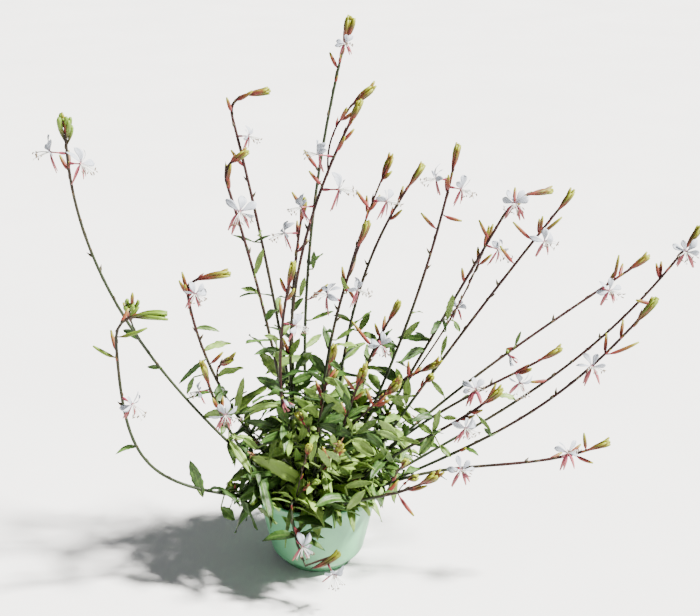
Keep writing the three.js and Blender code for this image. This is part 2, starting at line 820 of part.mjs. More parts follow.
// True where a leaf would meet the pot, the soil or the ground.
function meetsPot(point) {
  const radius = Math.sqrt(point[0] * point[0] + point[1] * point[1]);
  if (point[2] > potHeight + leafClearance) return false;
  if (point[2] < leafClearance + 1) return true;
  if (radius > potRadiusAt(point[2]) + lipWidth + leafClearance) return false;
  const inner = potRadiusAt(point[2]) - wallThickness - lipWidth - leafClearance;
  return point[2] < soilTop + soilRelief + leafClearance || radius > inner;
}

function leafPlan(stem, stemIndex, taken) {
  const leaves = [];
  for (let i = 0; i < stem.leaves + upperLeaves; i += 1) {
    const random = draws(1000 * (stemIndex + 1) + 17 * i);
    const leaf = tryLeaf(stem, i, random, taken);
    if (!leaf) continue;
    for (const point of leafSamples(leaf)) taken.add(point, stem.name);
    leaves.push(leaf);
  }
  return leaves;
}

// The first leaves spread out over the rim, the rest climb the leafy zone, and the last stand above it. All
// but the last end near the pot.
function tryLeaf(stem, index, random, taken) {
  const length = stemLength(stem);
  const upright = (stem.tip[2] - soilTop) / length;
  const zone = Math.min(leafZoneLow + leafZoneTall * upright, leafZoneMost * length);
  const skirt = index < (stem.foot[1] < frontEdge ? frontSkirtLeaves : skirtLeaves);
  const upper = index >= stem.leaves;
  const outward = (Math.atan2(stem.foot[1], stem.foot[0]) * 180) / Math.PI;
  for (let attempt = 0; attempt < leafTries; attempt += 1) {
    const climb = Math.pow((index + random()) / stem.leaves, 1.2);
    const nearest = skirt ? skirtLowest : lowestLeaf;
    const above = upper ? upperStretch * (length - zone) * random() : 0;
    const distance = upper ? zone + above : nearest + (zone - nearest) * climb;
    const spread = random();
    const bearing = skirt ? outward + skirtSpread * (2 * spread - 1) : fullTurn * index + 360 * spread;
    const pitch = 5 + (skirt ? 35 : 60) * random();
    const size = upper ? upperSize : 1 - (sizeDrop * distance) / zone;
    const reach = leafLongest * size * (0.76 + 0.32 * random());
    const along = heading(bearing, pitch);
    const leaf = {
      base: tubePoint(stem, Math.max(distance, 1) / length),
      along,
      ...bladeFrame(along, -leafRoll + 2 * leafRoll * random()),
      length: reach,
      width: Math.max(reach * leafAspect * (0.85 + 0.3 * random()), leafNarrowest),
      droop: skirt ? 0.4 + 0.45 * random() : 0.1 + 0.35 * random(),
      waves: 1 + 2 * random(),
    };
    const end = leafPoint(leaf, 1, 0);
    if (!upper && Math.sqrt(end[0] * end[0] + end[1] * end[1]) > moundRadius) continue;
    if (leafSamples(leaf).some((point) => meetsPot(point) || taken.near(point, stem.name))) continue;
    return leaf;
  }
  return null;
}

function claimStems(taken) {
  for (const stem of stems) {
    const runs = [stem, ...(stem.branches ?? []).map((branch) => branchOf(stem, branch))];
    for (const run of runs) {
      for (let i = 0; i <= stemSamples; i += 1) {
        taken.add(tubePoint(run, i / stemSamples), stem.name, true);
      }
    }
  }
}

function claimBuds(taken) {
  stems.forEach((stem, stemIndex) => {
    for (const bud of allBuds(stem, stemIndex)) {
      for (const share of [0.3, 0.65, 1]) {
        taken.add(add(bud.base, bud.along, bud.length * share), stem.name);
      }
    }
  });
}

// The buds, seed capsules and withered petals of a stem and of its branches.
function allBuds(stem, stemIndex) {
  const seed = 31 * stemIndex;
  const plans = [...budPlan(stem, seed + 5), ...capsulePlan(stem, seed + 9), ...wiltedPlan(stem)];
  (stem.branches ?? []).forEach((branch, i) => {
    plans.push(...budPlan(branchOf(stem, branch), seed + 13 + i));
  });
  return plans;
}

function stemSolid(stem, stemIndex, taken) {
  const pieces = [stemTube(stem)];
  for (const branch of stem.branches ?? []) pieces.push(stemTube(branchOf(stem, branch)));
  for (const bud of allBuds(stem, stemIndex)) pieces.push(spindle(bud));
  for (const bloom of fusedBlooms) {
    if (bloom.stem === stem.name) pieces.push(bloomSolid(bloom));
  }
  for (const leaf of leafPlan(stem, stemIndex, taken)) pieces.push(leafBlade(leaf));
  return clean(join(pieces));
}

function lathe(profile, segments) {
  const geometry = new THREE.LatheGeometry(profile.map(([x, y]) => new THREE.Vector2(x, y)), segments);
  geometry.rotateX(Math.PI / 2);
  return geometry;
}

// Rings of the bend from the foot's top out to the wall, at a depth behind the pot's outer face.
function bendRings(depth, facets) {
  const most = Math.PI / 2 - Math.atan2(rimRadius - baseRadius, potHeight);
  const middle = potRadiusAt(footHeight) - bendRadius * Math.tan(most / 2);
  return Array.from({ length: facets }, (_, i) => {
    const turn = (most * (i + 1)) / facets;
    const reach = bendRadius - depth;
    return [middle + reach * Math.sin(turn), footHeight + bendRadius - reach * Math.cos(turn)];
  });
}

function potSolid() {
  const inner = rimRadius - wallThickness;
  const innerFoot = footRadius - wallThickness;
  const body = toManifold(lathe([
    [0, 0],
    [footRadius, 0],
    [footRadius, footHeight],
    ...bendRings(0, bendFacets),
    [potRadiusAt(potHeight - lipDepth), potHeight - lipDepth],
    [lipRadius, potHeight - lipDepth],
    [lipRadius, potHeight],
    [inner, potHeight],
    ...bendRings(wallThickness, bendFacets - 1).reverse(),
    [innerFoot, footHeight + wallThickness],
    [innerFoot, floorThickness],
    [0, floorThickness],
  ], potSides));
  const holes = Array.from({ length: drainCount }, (_, i) => {
    const drill = new THREE.CylinderGeometry(drainRadius, drainRadius, 4 * floorThickness, drainSides);
    drill.rotateX(Math.PI / 2);
    const turn = (2 * Math.PI * (i + 0.5)) / drainCount;
    drill.translate(drainPlace * Math.cos(turn), drainPlace * Math.sin(turn), 0);
    return toManifold(drill);
  });
  return body.subtract(join(holes));
}

// The soil's top is uneven, and each stem stands in a plain hole.
function soilSolid() {
  const low = floorThickness + clearance;
  const inside = (height) => potInnerRadius(height) - clearance;
  const rings = [0.8, 0.5, 0.25].map((share) => [inside(soilTop) * share, soilTop]);
  const narrow = footRadius - wallThickness - clearance;
  const [[, bendTop]] = bendRings(wallThickness, 1);
  const wall = [
    [narrow, low],
    [narrow, footHeight + wallThickness + clearance],
    [inside(bendTop), bendTop],
    [inside(soilTop), soilTop],
  ];
  const geometry = lathe([[0, low], ...wall, ...rings, [0, soilTop]], potSides);
  const place = geometry.attributes.position;
  for (let i = 0; i < place.count; i += 1) {
    const [x, y, z] = [place.getX(i), place.getY(i), place.getZ(i)];
    const edge = Math.hypot(x, y) > 0.9 * inside(soilTop);
    if (z > soilTop - 0.1 && !edge) {
      place.setZ(i, z + soilRelief * Math.sin(x * 0.19 + 1) * Math.cos(y * 0.23));
    }
  }
  const holes = stems.map((stem) => {
    const radius = stemFootRadius + clearance * Math.SQRT2;
    const depth = plantDepth + clearance;
    const drill = new THREE.CylinderGeometry(radius, radius, depth + 10, stemSides);
    drill.rotateX(Math.PI / 2);
    drill.translate(stem.foot[0], stem.foot[1], soilTop - depth + (depth + 10) / 2);
    return toManifold(drill);
  });
  return toManifold(geometry).subtract(join(holes));
}

// The inner face of the wall, above the bend.
function potInnerRadius(height) {
  const [[bendEnd, bendTop]] = bendRings(wallThickness, 1);
  const share = (height - bendTop) / (potHeight - bendTop);
  return bendEnd + (rimRadius - wallThickness - bendEnd) * share;
}

function meshOf(name, solid, colour, roughness) {
  const material = new THREE.MeshStandardMaterial({ color: colour, roughness, metalness: 0 });
  const mesh = new THREE.Mesh(toGeometry(solid), material);
  mesh.name = name;
  return mesh;
}

function bloomName(index) {
  return `bloom_${String(index + 1).padStart(2, '0')}`;
}

function build() {
  const plant = new THREE.Group();
  const taken = new Taken(leafSpacing);
  claimStems(taken);
  claimBuds(taken);
  blooms.forEach((bloom, i) => {
    for (const point of bloomSamples(bloom)) taken.add(point, bloomName(i));
  });
  for (const bloom of fusedBlooms) {
    for (const point of bloomSamples(bloom)) taken.add(point, bloom.stem);
  }
  plant.add(meshOf('pot', potSolid(), colours.pot, 0.45));
  plant.add(meshOf('soil', soilSolid(), colours.soil, 0.95));
  stems.forEach((stem, i) => plant.add(meshOf(stem.name, stemSolid(stem, i, taken), colours.stem, 0.6)));
  blooms.forEach((bloom, i) => plant.add(meshOf(bloomName(i), bloomSolid(bloom), colours.petal, 0.55)));
  return plant;
}

export default build();
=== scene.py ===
# A potted gaura: fine stalks, leaves, buds, flowers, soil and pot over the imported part.
import math

import bmesh
import bpy
from mathutils import Matrix, Vector, noise


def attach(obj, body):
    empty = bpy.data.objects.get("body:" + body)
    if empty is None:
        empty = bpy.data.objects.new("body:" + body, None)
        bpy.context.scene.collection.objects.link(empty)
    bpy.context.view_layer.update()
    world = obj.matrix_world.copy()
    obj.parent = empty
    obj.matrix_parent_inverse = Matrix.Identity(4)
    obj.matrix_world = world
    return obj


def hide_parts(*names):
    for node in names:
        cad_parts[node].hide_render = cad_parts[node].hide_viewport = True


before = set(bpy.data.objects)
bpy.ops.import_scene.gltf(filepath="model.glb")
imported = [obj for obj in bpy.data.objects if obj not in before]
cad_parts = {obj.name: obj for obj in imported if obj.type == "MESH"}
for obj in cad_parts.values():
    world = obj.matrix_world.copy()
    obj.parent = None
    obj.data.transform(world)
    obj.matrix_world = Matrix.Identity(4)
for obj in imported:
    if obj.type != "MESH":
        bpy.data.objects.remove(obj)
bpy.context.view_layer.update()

# Lengths are worked out in millimetres, as the part is drawn, and become metres when a mesh is made.
mm = 0.001

plantShape = {
    "soilTop": 69, "footRise": 3, "plantDepth": 16, "soilRelief": 1.6, "footRadius": 1.5, "tipRadius": 0.8,
    "ringEvery": 78, "fewestRings": 3, "nodRings": 4, "nodShare": 0.16, "nodReach": 0.6, "nodStep": 0.02,
    "headingStep": 0.01, "fullTurn": 137.5, "stemSamples": 120,
}
soilTop = plantShape["soilTop"]
nodShare = plantShape["nodShare"]
fullTurn = plantShape["fullTurn"]

# The camera that fits the photograph: straight along +Y, tilted down. The photograph's size is in pixels.
cameraPlace = {"at": (0.034, -1.154, 0.71), "tilt": 20.5, "lens": 64.23, "sensor": 36}
photo = {"width": 700, "height": 616}


def branchTo(at, tip, bow, buds):
    return {"at": at, "tip": tip, "bow": bow, "buds": buds}


def stemTo(name, foot, tip, bow, leaves, buds, capsules, redness, **more):
    return {"name": name, "foot": foot, "tip": tip, "bow": bow, "leaves": leaves, "buds": buds,
            "capsules": capsules, "redness": redness, **more}


# Each stem leaves the soil at its foot and runs to its tip. Its bow swings the middle off the straight
# line, its rise shifts the lower third, and its nod is the last stretch, turned over from the tip.
# Redness is how far down its red colour reaches.
stems = [
    stemTo("stem_tallest", (-6, 14), (34, 70, 548), (-22, 0, 0), 11, 4, 2, 0.1),
    stemTo("stem_far_left", (-34, 2), (-218, -60, 480), (-60, 5, -17), 7, 4, 2, 0.4, rise=(14, 0, 0),
           branches=[branchTo(0.45, (-172, -48, 300), (-8, 0, 4), 2)]),
    stemTo("stem_low_left", (-4, -22), (-180, -95, 280), (-46, -8, -62), 5, 4, 2, 0.4, rise=(-18, 0, 22),
           nod=(46, -15, 32)),
    stemTo("stem_left", (-24, 12), (-123, -15, 293), (-18, 0, 0), 8, 3, 2, 0.7, nod=(36, -5, 28),
           branches=[branchTo(0.5, (-86, -22, 232), (-4, 0, 3), 2)]),
    stemTo("stem_left_short", (-30, -24), (-104, -70, 243), (-12, 0, 0), 9, 3, 1, 0.4),
    stemTo("stem_hook_back", (-16, 28), (-81, 55, 457), (6, 0, 0), 10, 3, 2, 0.8, nod=(31, 5, 24)),
    stemTo("stem_hook_front", (-20, -2), (-83, 0, 404), (8, 0, 0), 10, 3, 2, 0.8, nod=(15, 0, 29)),
    stemTo("stem_twin", (-4, 2), (42, 20, 475), (-42, 0, 0), 11, 3, 2, 0.8,
           branches=[branchTo(0.84, (51, 34, 486), (-12, 0, 4), 3)]),
    stemTo("stem_middle_left", (-12, 40), (-12, 44, 372), (-14, 4, 0), 10, 3, 2, 0.7),
    stemTo("stem_red_tip", (-12, -14), (-20, -45, 335), (-18, 0, 0), 12, 4, 1, 0.9,
           wilted={"at": 0.46, "bearing": -20}),
    stemTo("stem_middle", (6, -12), (50, 15, 357), (-18, 0, 0), 12, 3, 2, 0.6,
           branches=[branchTo(0.7, (72, 40, 415), (-4, 0, 0), 3)]),
    stemTo("stem_middle_right", (10, 30), (105, 80, 398), (-36, 0, 0), 11, 3, 2, 0.6, rise=(14, 0, 0)),
    stemTo("stem_right_tall", (16, 14), (140, 60, 422), (14, 0, 0), 11, 4, 2, 0.7),
    stemTo("stem_right_arch", (30, 24), (187, 60, 352), (0, 0, 0), 9, 3, 2, 0.8, nod=(47, 15, 25),
           branches=[branchTo(0.3, (179, 95, 325), (10, 0, 0), 3)]),
    stemTo("stem_right_long", (34, 8), (251, 40, 382), (-5, 0, 0), 6, 4, 2, 0.8),
    stemTo("stem_far_right_upper", (26, 2), (335, 60, 309), (0, 0, 8), 5, 4, 2, 0.8, rise=(0, 0, 8),
           wilted={"at": 0.55, "bearing": -20}),
    stemTo("stem_far_right", (40, -4), (376, 20, 352), (10, 0, -46), 5, 4, 2, 0.8, rise=(0, 0, 22)),
    stemTo("stem_right_low", (36, -16), (322, -40, 299), (0, 0, -50), 5, 4, 2, 0.8, rise=(0, 0, 24)),
    stemTo("stem_right_inner", (24, -10), (237, -15, 238), (0, 0, 8), 6, 3, 2, 0.7, rise=(0, 0, 14)),
    stemTo("stem_right_level", (30, -26), (284, -50, 154), (0, 0, -12), 5, 4, 2, 0.8, rise=(0, 0, 26)),
    stemTo("stem_right_front", (20, -24), (173, -80, 223), (0, 0, -6), 8, 3, 1, 0.7, rise=(0, 0, 16)),
    stemTo("stem_over_rim", (0, -44), (114, -115, 153), (-4, -6, -8), 8, 3, 1, 0.6, rise=(0, -2, 12)),
    stemTo("stem_drooping", (-14, -40), (-14, -86, 47), (-10, -4, 28), 9, 3, 1, 0.4, rise=(0, 0, 8),
           nod=(36, -12, 12)),
    stemTo("stem_short_front", (-2, -30), (18, -30, 244), (-6, 0, 0), 12, 3, 0, 0.7,
           branches=[branchTo(0.22, (23, -95, 172), (0, -6, 4), 3)]),
    stemTo("stem_orange_buds", (10, -2), (47, -50, 232), (-4, 0, 0), 12, 4, 0, 0.7,
           branches=[branchTo(0.5, (78, -58, 222), (0, 0, 0), 3)]),
    stemTo("stem_short_right", (22, 38), (81, 12, 276), (-10, 8, 0), 12, 3, 1, 0.6,
           branches=[branchTo(0.35, (117, 0, 217), (0, 0, 4), 3)]),
]


def bloomOn(stem, at, bearing, pitch, scale, branch=None):
    return {"stem": stem, "at": at, "bearing": bearing, "pitch": pitch, "scale": scale, "branch": branch}


# Each bloom stands on its stem at a share of the way along, faces a bearing from +X and a pitch up.
blooms = [
    bloomOn("stem_tallest", 0.95, -80, 20, 0.7),
    bloomOn("stem_far_left", 0.93, 200, 10, 1),
    bloomOn("stem_far_left", 0.91, -30, 5, 1),
    bloomOn("stem_low_left", 0.72, -40, -10, 1),
    bloomOn("stem_left", 0.88, -60, -5, 1),
    bloomOn("stem_left_short", 0.72, -60, 0, 1),
    bloomOn("stem_left_short", 0.86, 200, 0, 0.7),
    bloomOn("stem_hook_back", 0.8, -20, 5, 0.8),
    bloomOn("stem_hook_front", 0.78, -70, 5, 1.2),
    bloomOn("stem_twin", 0.88, 190, 10, 1),
    bloomOn("stem_twin", 0.8, -15, 5, 1.2),
    bloomOn("stem_twin", 0.76, -160, 0, 0.9),
    bloomOn("stem_middle_left", 0.9, 200, 5, 1),
    bloomOn("stem_red_tip", 0.78, -20, 0, 0.9),
    bloomOn("stem_middle", 0.74, 190, 30, 1),
    bloomOn("stem_middle", 0.75, -30, 5, 1, branch=0),
    bloomOn("stem_right_tall", 0.92, 190, 5, 1),
    bloomOn("stem_right_tall", 0.9, -40, 0, 1),
    bloomOn("stem_right_arch", 0.9, -100, 10, 1.1),
    bloomOn("stem_right_arch", 0.76, -40, -5, 1),
    bloomOn("stem_right_arch", 0.5, 70, 5, 0.8, branch=0),
    bloomOn("stem_right_long", 0.86, -60, 5, 1),
    bloomOn("stem_far_right_upper", 0.86, -70, 10, 1),
    bloomOn("stem_far_right", 0.96, -100, 5, 1),
    bloomOn("stem_right_low", 0.8, -80, 36, 1),
    bloomOn("stem_right_inner", 0.82, -80, -20, 1),
    bloomOn("stem_right_level", 0.84, -70, 40, 1),
    bloomOn("stem_right_front", 0.76, -60, -5, 1),
    bloomOn("stem_drooping", 0.72, -65, 0, 1),
    bloomOn("stem_drooping", 0.97, -60, -30, 0.9),
    bloomOn("stem_short_right", 0.8, -80, 0, 0.9),
    bloomOn("stem_right_level", 0.44, -80, 20, 1),
]

# Two more grow in one body with their stems.
fusedBlooms = [
    bloomOn("stem_middle", 0.78, -20, 5, 1),
    bloomOn("stem_right_inner", 0.62, -80, 45, 1),
]


# Points are plain tuples, so that the places come out as they do in the part.
def draws(seed):
    state = seed * 7919 + 104729

    def step():
        nonlocal state
        state = (state * 16807) % 2147483647
        return state / 2147483647
    step()
    step()
    return step


def add(a, b, scale=1):
    return (a[0] + b[0] * scale, a[1] + b[1] * scale, a[2] + b[2] * scale)


def cross(a, b):
    return (a[1] * b[2] - a[2] * b[1], a[2] * b[0] - a[0] * b[2], a[0] * b[1] - a[1] * b[0])


def unit(a):
    length = math.sqrt(a[0] * a[0] + a[1] * a[1] + a[2] * a[2])
    return (a[0] / length, a[1] / length, a[2] / length)


def gap(a, b):
    x, y, z = a[0] - b[0], a[1] - b[1], a[2] - b[2]
    return math.sqrt(x * x + y * y + z * z)


def mix(a, b, share):
    return a + (b - a) * share


# A point of the curve that leaves its start towards a corner and reaches its end from there.
def curve(start, corner, end, share):
    rest = 1 - share
    weights = (rest * rest, 2 * rest * share, share * share)
    return tuple(weights[0] * start[i] + weights[1] * corner[i] + weights[2] * end[i] for i in range(3))


# A random value from a range, which is given by its start and its span.
def varied(random, span):
    return span[0] + span[1] * random()


# A random value up to half of a width to either side.
def wobble(random, width):
    return width * (random() - 0.5)


def heading(bearing, pitch):
    turn, lift = math.radians(bearing), math.radians(pitch)
    return (math.cos(turn) * math.cos(lift), math.sin(turn) * math.cos(lift), math.sin(lift))


# A direction turned by degrees towards another that is square to it.
def turned(start, towards, degrees):
    turn = math.radians(degrees)
    return unit(add(add((0, 0, 0), start, math.cos(turn)), towards, math.sin(turn)))


# The sideways and face directions of a blade that runs along a heading.
def bladeFrame(along, roll):
    flat = unit(cross(along, (0, 0, 1)))
    side = turned(flat, cross(flat, along), roll)
    return side, cross(side, along)


# A point of the main run of a stem, before its nod. Swing and early both reach 1 at their greatest.
def runPoint(stem, start, share):
    swing = 4 * share * (1 - share)
    early = (27 / 4) * share * (1 - share) * (1 - share)
    tip, bow = stem["tip"], stem["bow"]
    rise = stem.get("rise", (0, 0, 0))
    return tuple(start[i] + (tip[i] - start[i]) * share + bow[i] * swing + rise[i] * early for i in range(3))


def stemStart(stem):
    return stem.get("start") or (stem["foot"][0], stem["foot"][1], soilTop + plantShape["footRise"])


def stemPoint(stem, share):
    start = stemStart(stem)
    if "nod" not in stem:
        return runPoint(stem, start, share)
    run = 1 - nodShare
    if share <= run:
        return runPoint(stem, start, share / run)
    before = runPoint(stem, start, 1 - plantShape["nodStep"])
    heads = unit(add(runPoint(stem, start, 1), before, -1))
    corner = add(stem["tip"], heads, plantShape["nodReach"] * gap(stem["nod"], (0, 0, 0)))
    return curve(stem["tip"], corner, add(stem["tip"], stem["nod"]), (share - run) / nodShare)


def stemLength(stem):
    return gap(stemStart(stem), stem["tip"])


def stemHeading(stem, share):
    step = plantShape["headingStep"]
    low = min(share, 1 - step)
    return unit(add(stemPoint(stem, low + step), stemPoint(stem, low), -1))


def stemRadius(stem, share):
    if "start" in stem:
        return plantShape["tipRadius"]
    return mix(plantShape["footRadius"], plantShape["tipRadius"], share)


def ringShares(stem):
    run = 1 - nodShare if "nod" in stem else 1
    rings = max(plantShape["fewestRings"], math.floor(stemLength(stem) / plantShape["ringEvery"] + 0.5))
    shares = [run * (i + 1) / rings for i in range(rings)]
    if "nod" in stem:
        rings = plantShape["nodRings"]
        shares += [run + nodShare * i / rings for i in range(1, rings + 1)]
    return shares


# A point of the part's own tube, which runs straight from ring to ring.
def tubePoint(stem, share):
    shares = stem.setdefault("rings", [0] + ringShares(stem))
    reached = next((i for i, value in enumerate(shares) if value >= share - 1e-9), -1)
    high = max(1, reached)
    low = high - 1
    start, end = stemPoint(stem, shares[low]), stemPoint(stem, shares[high])
    return add(start, add(end, start, -1), (share - shares[low]) / (shares[high] - shares[low]))


def branchOf(stem, branch):
    return {**branch, "name": stem["name"], "start": tubePoint(stem, branch["at"]),
            "redness": stem["redness"]}


def runsOf(stem):
    if "runs" not in stem:
        stem["runs"] = [stem] + [branchOf(stem, branch) for branch in stem.get("branches", [])]
    return stem["runs"]


# The directions of the camera, and how many pixels a length as long as its distance covers.
lookDown = math.radians(cameraPlace["tilt"])
lookAlong = (0, math.cos(lookDown), -math.sin(lookDown))
lookUp = (0, math.sin(lookDown), math.cos(lookDown))
lookFrom = tuple(value / mm for value in cameraPlace["at"])
focal = cameraPlace["lens"] / cameraPlace["sensor"] * photo["width"]


# Where the line of sight through a pixel meets the upright plane at a given distance behind the pot's middle.
def seenAt(pixel, depth):
    right = (pixel[0] - photo["width"] / 2) / focal
    up = (photo["height"] / 2 - pixel[1]) / focal
    sight = add(add(lookAlong, (1, 0, 0), right), lookUp, up)
    return add(lookFrom, sight, (depth - lookFrom[1]) / sight[1])


def pixelOf(point):
    away = add(point, lookFrom, -1)
    depth = sum(away[i] * lookAlong[i] for i in range(3))
    up = sum(away[i] * lookUp[i] for i in range(3))
    return photo["width"] / 2 + focal * away[0] / depth, photo["height"] / 2 - focal * up / depth


# How far from a pixel a stalk may pass, and what each millimetre further back costs in pixels.
nearShape = {"close": 5, "deep": 0.01, "moundClose": 12, "moundDeep": 0.1, "moundTop": 425, "count": 90}


# The stalk, and the share along it, that the photograph shows at a pixel: the foremost of the close ones.
def stalkNear(pixel):
    shape = nearShape
    best = None
    low = pixel[1] > shape["moundTop"]
    close, deep = (shape["moundClose"], shape["moundDeep"]) if low else (shape["close"], shape["deep"])
    for stem in stems:
        for run in runsOf(stem):
            if "seen" not in run:
                shares = [i / shape["count"] for i in range(shape["count"] + 1)]
                run["seen"] = [(share, pixelOf(stemPoint(run, share))) for share in shares]
            for share, (x, y) in run["seen"]:
                away = max(close, math.hypot(x - pixel[0], y - pixel[1]))
                ahead = stemPoint(run, share)[1] * deep
                if best is None or away + ahead < best[0]:
                    best = (away + ahead, run, share)
    return best[1], best[2]


# A range of random values is given by its start and its span, here and below.
budShape = {
    "length": 17, "radius": 1.8, "top": 0.994, "every": 0.012, "lean": 0.7, "stray": 40, "pitch": (20, 30),
    "firstSize": 0.7, "nextSize": 0.6, "growth": 0.08, "sizeSpan": 0.25,
}
capsuleShape = {
    "length": 8, "radius": 1.6, "first": 0.66, "every": 0.035, "lean": 0.8, "stray": 60, "shareSpan": 0.01,
    "sides": 6, "profile": (0.4, 0.85, 1, 0.8, 0.45, 0.12), "thinner": 0.85, "tone": 0.2,
}
wiltedShape = {"length": 16, "radius": 1.9, "turn": 25, "pitch": -35, "steeper": 10}


# Buds crowd the tip of a stem, and longer ones stand out below it.
def budPlan(stem, seed):
    shape = budShape
    random = draws(seed)
    plans = []
    for i in range(stem["buds"]):
        share = shape["top"] - shape["every"] * i
        turn = fullTurn * i + shape["stray"] * random()
        out = heading(turn, varied(random, shape["pitch"]))
        size = shape["firstSize"]
        if i > 0:
            size = shape["nextSize"] + shape["growth"] * i + shape["sizeSpan"] * random()
        along = unit(add(stemHeading(stem, share), out, shape["lean"] if i > 0 else 0))
        plans.append({"share": share, "along": along, "base": tubePoint(stem, share),
                      "length": shape["length"] * size, "radius": shape["radius"]})
    return plans


# Seed capsules sit close along the stretch below the open flowers.
def capsulePlan(stem, seed):
    shape = capsuleShape
    random = draws(seed)
    plans = []
    for i in range(stem["capsules"]):
        share = shape["first"] + shape["every"] * i + shape["shareSpan"] * random()
        out = heading(fullTurn * i + shape["stray"] * random(), 0)
        along = unit(add(stemHeading(stem, share), out, shape["lean"]))
        plans.append({"share": share, "along": along, "base": tubePoint(stem, share),
                      "length": shape["length"], "radius": shape["radius"]})
    return plans


# A withered flower hangs from its stem as a small bunch of limp petals.
def wiltedPlan(stem):
    if "wilted" not in stem:
        return []
    shape = wiltedShape
    at, bearing = stem["wilted"]["at"], stem["wilted"]["bearing"]
    return [{"share": at, "base": tubePoint(stem, at), "length": shape["length"], "radius": shape["radius"],
             "along": heading(bearing + shape["turn"] * i, shape["pitch"] - shape["steeper"] * i)}
            for i in (-1, 0, 1)]


leafShape = {
    "longest": 62, "aspect": 0.27, "narrowest": 4.5, "roll": (-75, 150), "fold": 0.18, "wave": 0.12,
    "climb": 1.2, "skirtPitch": (5, 35), "pitch": (5, 60), "lengths": (0.76, 0.32), "widths": (0.85, 0.3),
    "skirtDroop": (0.4, 0.45), "droop": (0.1, 0.35), "waves": (1, 2), "blunt": 0.7, "taper": 0.1, "end": 0.06,
    "zoneLow": 25, "zoneTall": 155, "zoneMost": 0.75, "moundRadius": 100, "lowest": 8, "sizeDrop": 0.4,
    "upperLeaves": 1, "upperSize": 0.42, "upperStretch": 0.25,
    "skirtLeaves": 4, "frontSkirtLeaves": 8, "frontEdge": -12, "skirtLowest": 18, "skirtSpread": 70,
    "tries": 60, "spacing": 5, "ownSpacing": 4, "sampleStep": 4.5, "clearance": 3,
    "rows": 11, "columns": 4, "thickness": 0.55, "teeth": 5, "toothDepth": 0.2, "twist": 30,
    "keel": 0.08,
}


def leafOutline(share):
    shape = leafShape
    rounded = math.pow(max(0, math.sin(math.pi * share)), shape["blunt"])
    return rounded * (1 - shape["taper"] * share) + shape["end"]


# A leaf's middle line runs straight out along its heading, then bends down by its droop.
def leafPoint(leaf, share, across):
    half = leaf["width"] / 2
    reach = add(leaf["base"], leaf["along"], leaf["length"] * share)
    middle = add(reach, (0, 0, -1), leaf["droop"] * leaf["length"] * share * share)
    fold = leafShape["fold"] * half * abs(across)
    return add(add(middle, leaf["side"], across * half * leafOutline(share)), leaf["face"], fold)


# Points on a leaf, close enough that two crossing leaves always bring two of them together.
def leafSamples(leaf):
    rows = math.ceil(leaf["length"] / leafShape["sampleStep"])
    columns = max(1, math.ceil(leaf["width"] / leafShape["sampleStep"]))
    for row in range(1, rows + 1):
        for column in range(columns + 1):
            yield leafPoint(leaf, row / rows, 2 * column / columns - 1)


# A grid of cells that finds the taken points near a place.
class Taken:
    def __init__(self, cell):
        self.cell = cell
        self.cells = {}

    def add(self, point, owner, line=False):
        key = tuple(math.floor(value / self.cell) for value in point)
        self.cells.setdefault(key, []).append((point, owner, line))

    # True where a point of another owner, or of the same one, is too near.
    def near(self, point, owner, ownLimit, otherLimit):
        x, y, z = (math.floor(value / self.cell) for value in point)
        for i in range(x - 1, x + 2):
            for j in range(y - 1, y + 2):
                for k in range(z - 1, z + 2):
                    for place, whose, line in self.cells.get((i, j, k), ()):
                        if whose == owner and line:
                            continue
                        if gap(place, point) < (ownLimit if whose == owner else otherLimit):
                            return True
        return False


potShape = {
    "height": 83.5, "rimRadius": 63.5, "baseRadius": 45, "wall": 1.8, "floor": 2.4,
    "lipWidth": 3.2, "lipDepth": 7, "lipRadius": 64.78, "clearance": 0.3,
    "drainCount": 6, "drainRadius": 5, "drainPlace": 26, "drainSides": 24, "steps": 120,
    "footRadius": 37, "footHeight": 7, "bendRadius": 12, "wallSlope": 12.5,
}


def potRadiusAt(height):
    share = height / potShape["height"]
    return potShape["baseRadius"] + (potShape["rimRadius"] - potShape["baseRadius"]) * share


# A point of the bend from the foot's top out to the wall, at a depth behind the pot's outer face.
def bendPoint(depth, share):
    shape = potShape
    slope = math.radians(shape["wallSlope"])
    turn = (math.tau / 4 - slope) * share
    middle = potRadiusAt(shape["footHeight"]) - shape["bendRadius"] * (1 / math.cos(slope) - math.tan(slope))
    reach = shape["bendRadius"] - depth
    return middle + reach * math.sin(turn), shape["footHeight"] + shape["bendRadius"] - reach * math.cos(turn)


# True where a leaf would meet the pot, the soil or the ground.
def meetsPot(point, room):
    radius = math.sqrt(point[0] * point[0] + point[1] * point[1])
    if point[2] > potShape["height"] + room:
        return False
    if point[2] < room + 1:
        return True
    lip = potShape["lipWidth"]
    if radius > potRadiusAt(point[2]) + lip + room:
        return False
    inner = potRadiusAt(point[2]) - potShape["wall"] - lip - room
    return point[2] < soilTop + plantShape["soilRelief"] + room or radius > inner


# The bearing of a stem's foot from the middle of the pot.
def outwardOf(stem):
    return math.degrees(math.atan2(stem["foot"][1], stem["foot"][0]))


def leafFrom(base, share, along, roll, length, width, droop, random):
    side, face = bladeFrame(along, roll)
    return {"base": base, "share": share, "along": along, "side": side, "face": face, "length": length,
            "width": width, "droop": droop, "waves": varied(random, leafShape["waves"])}


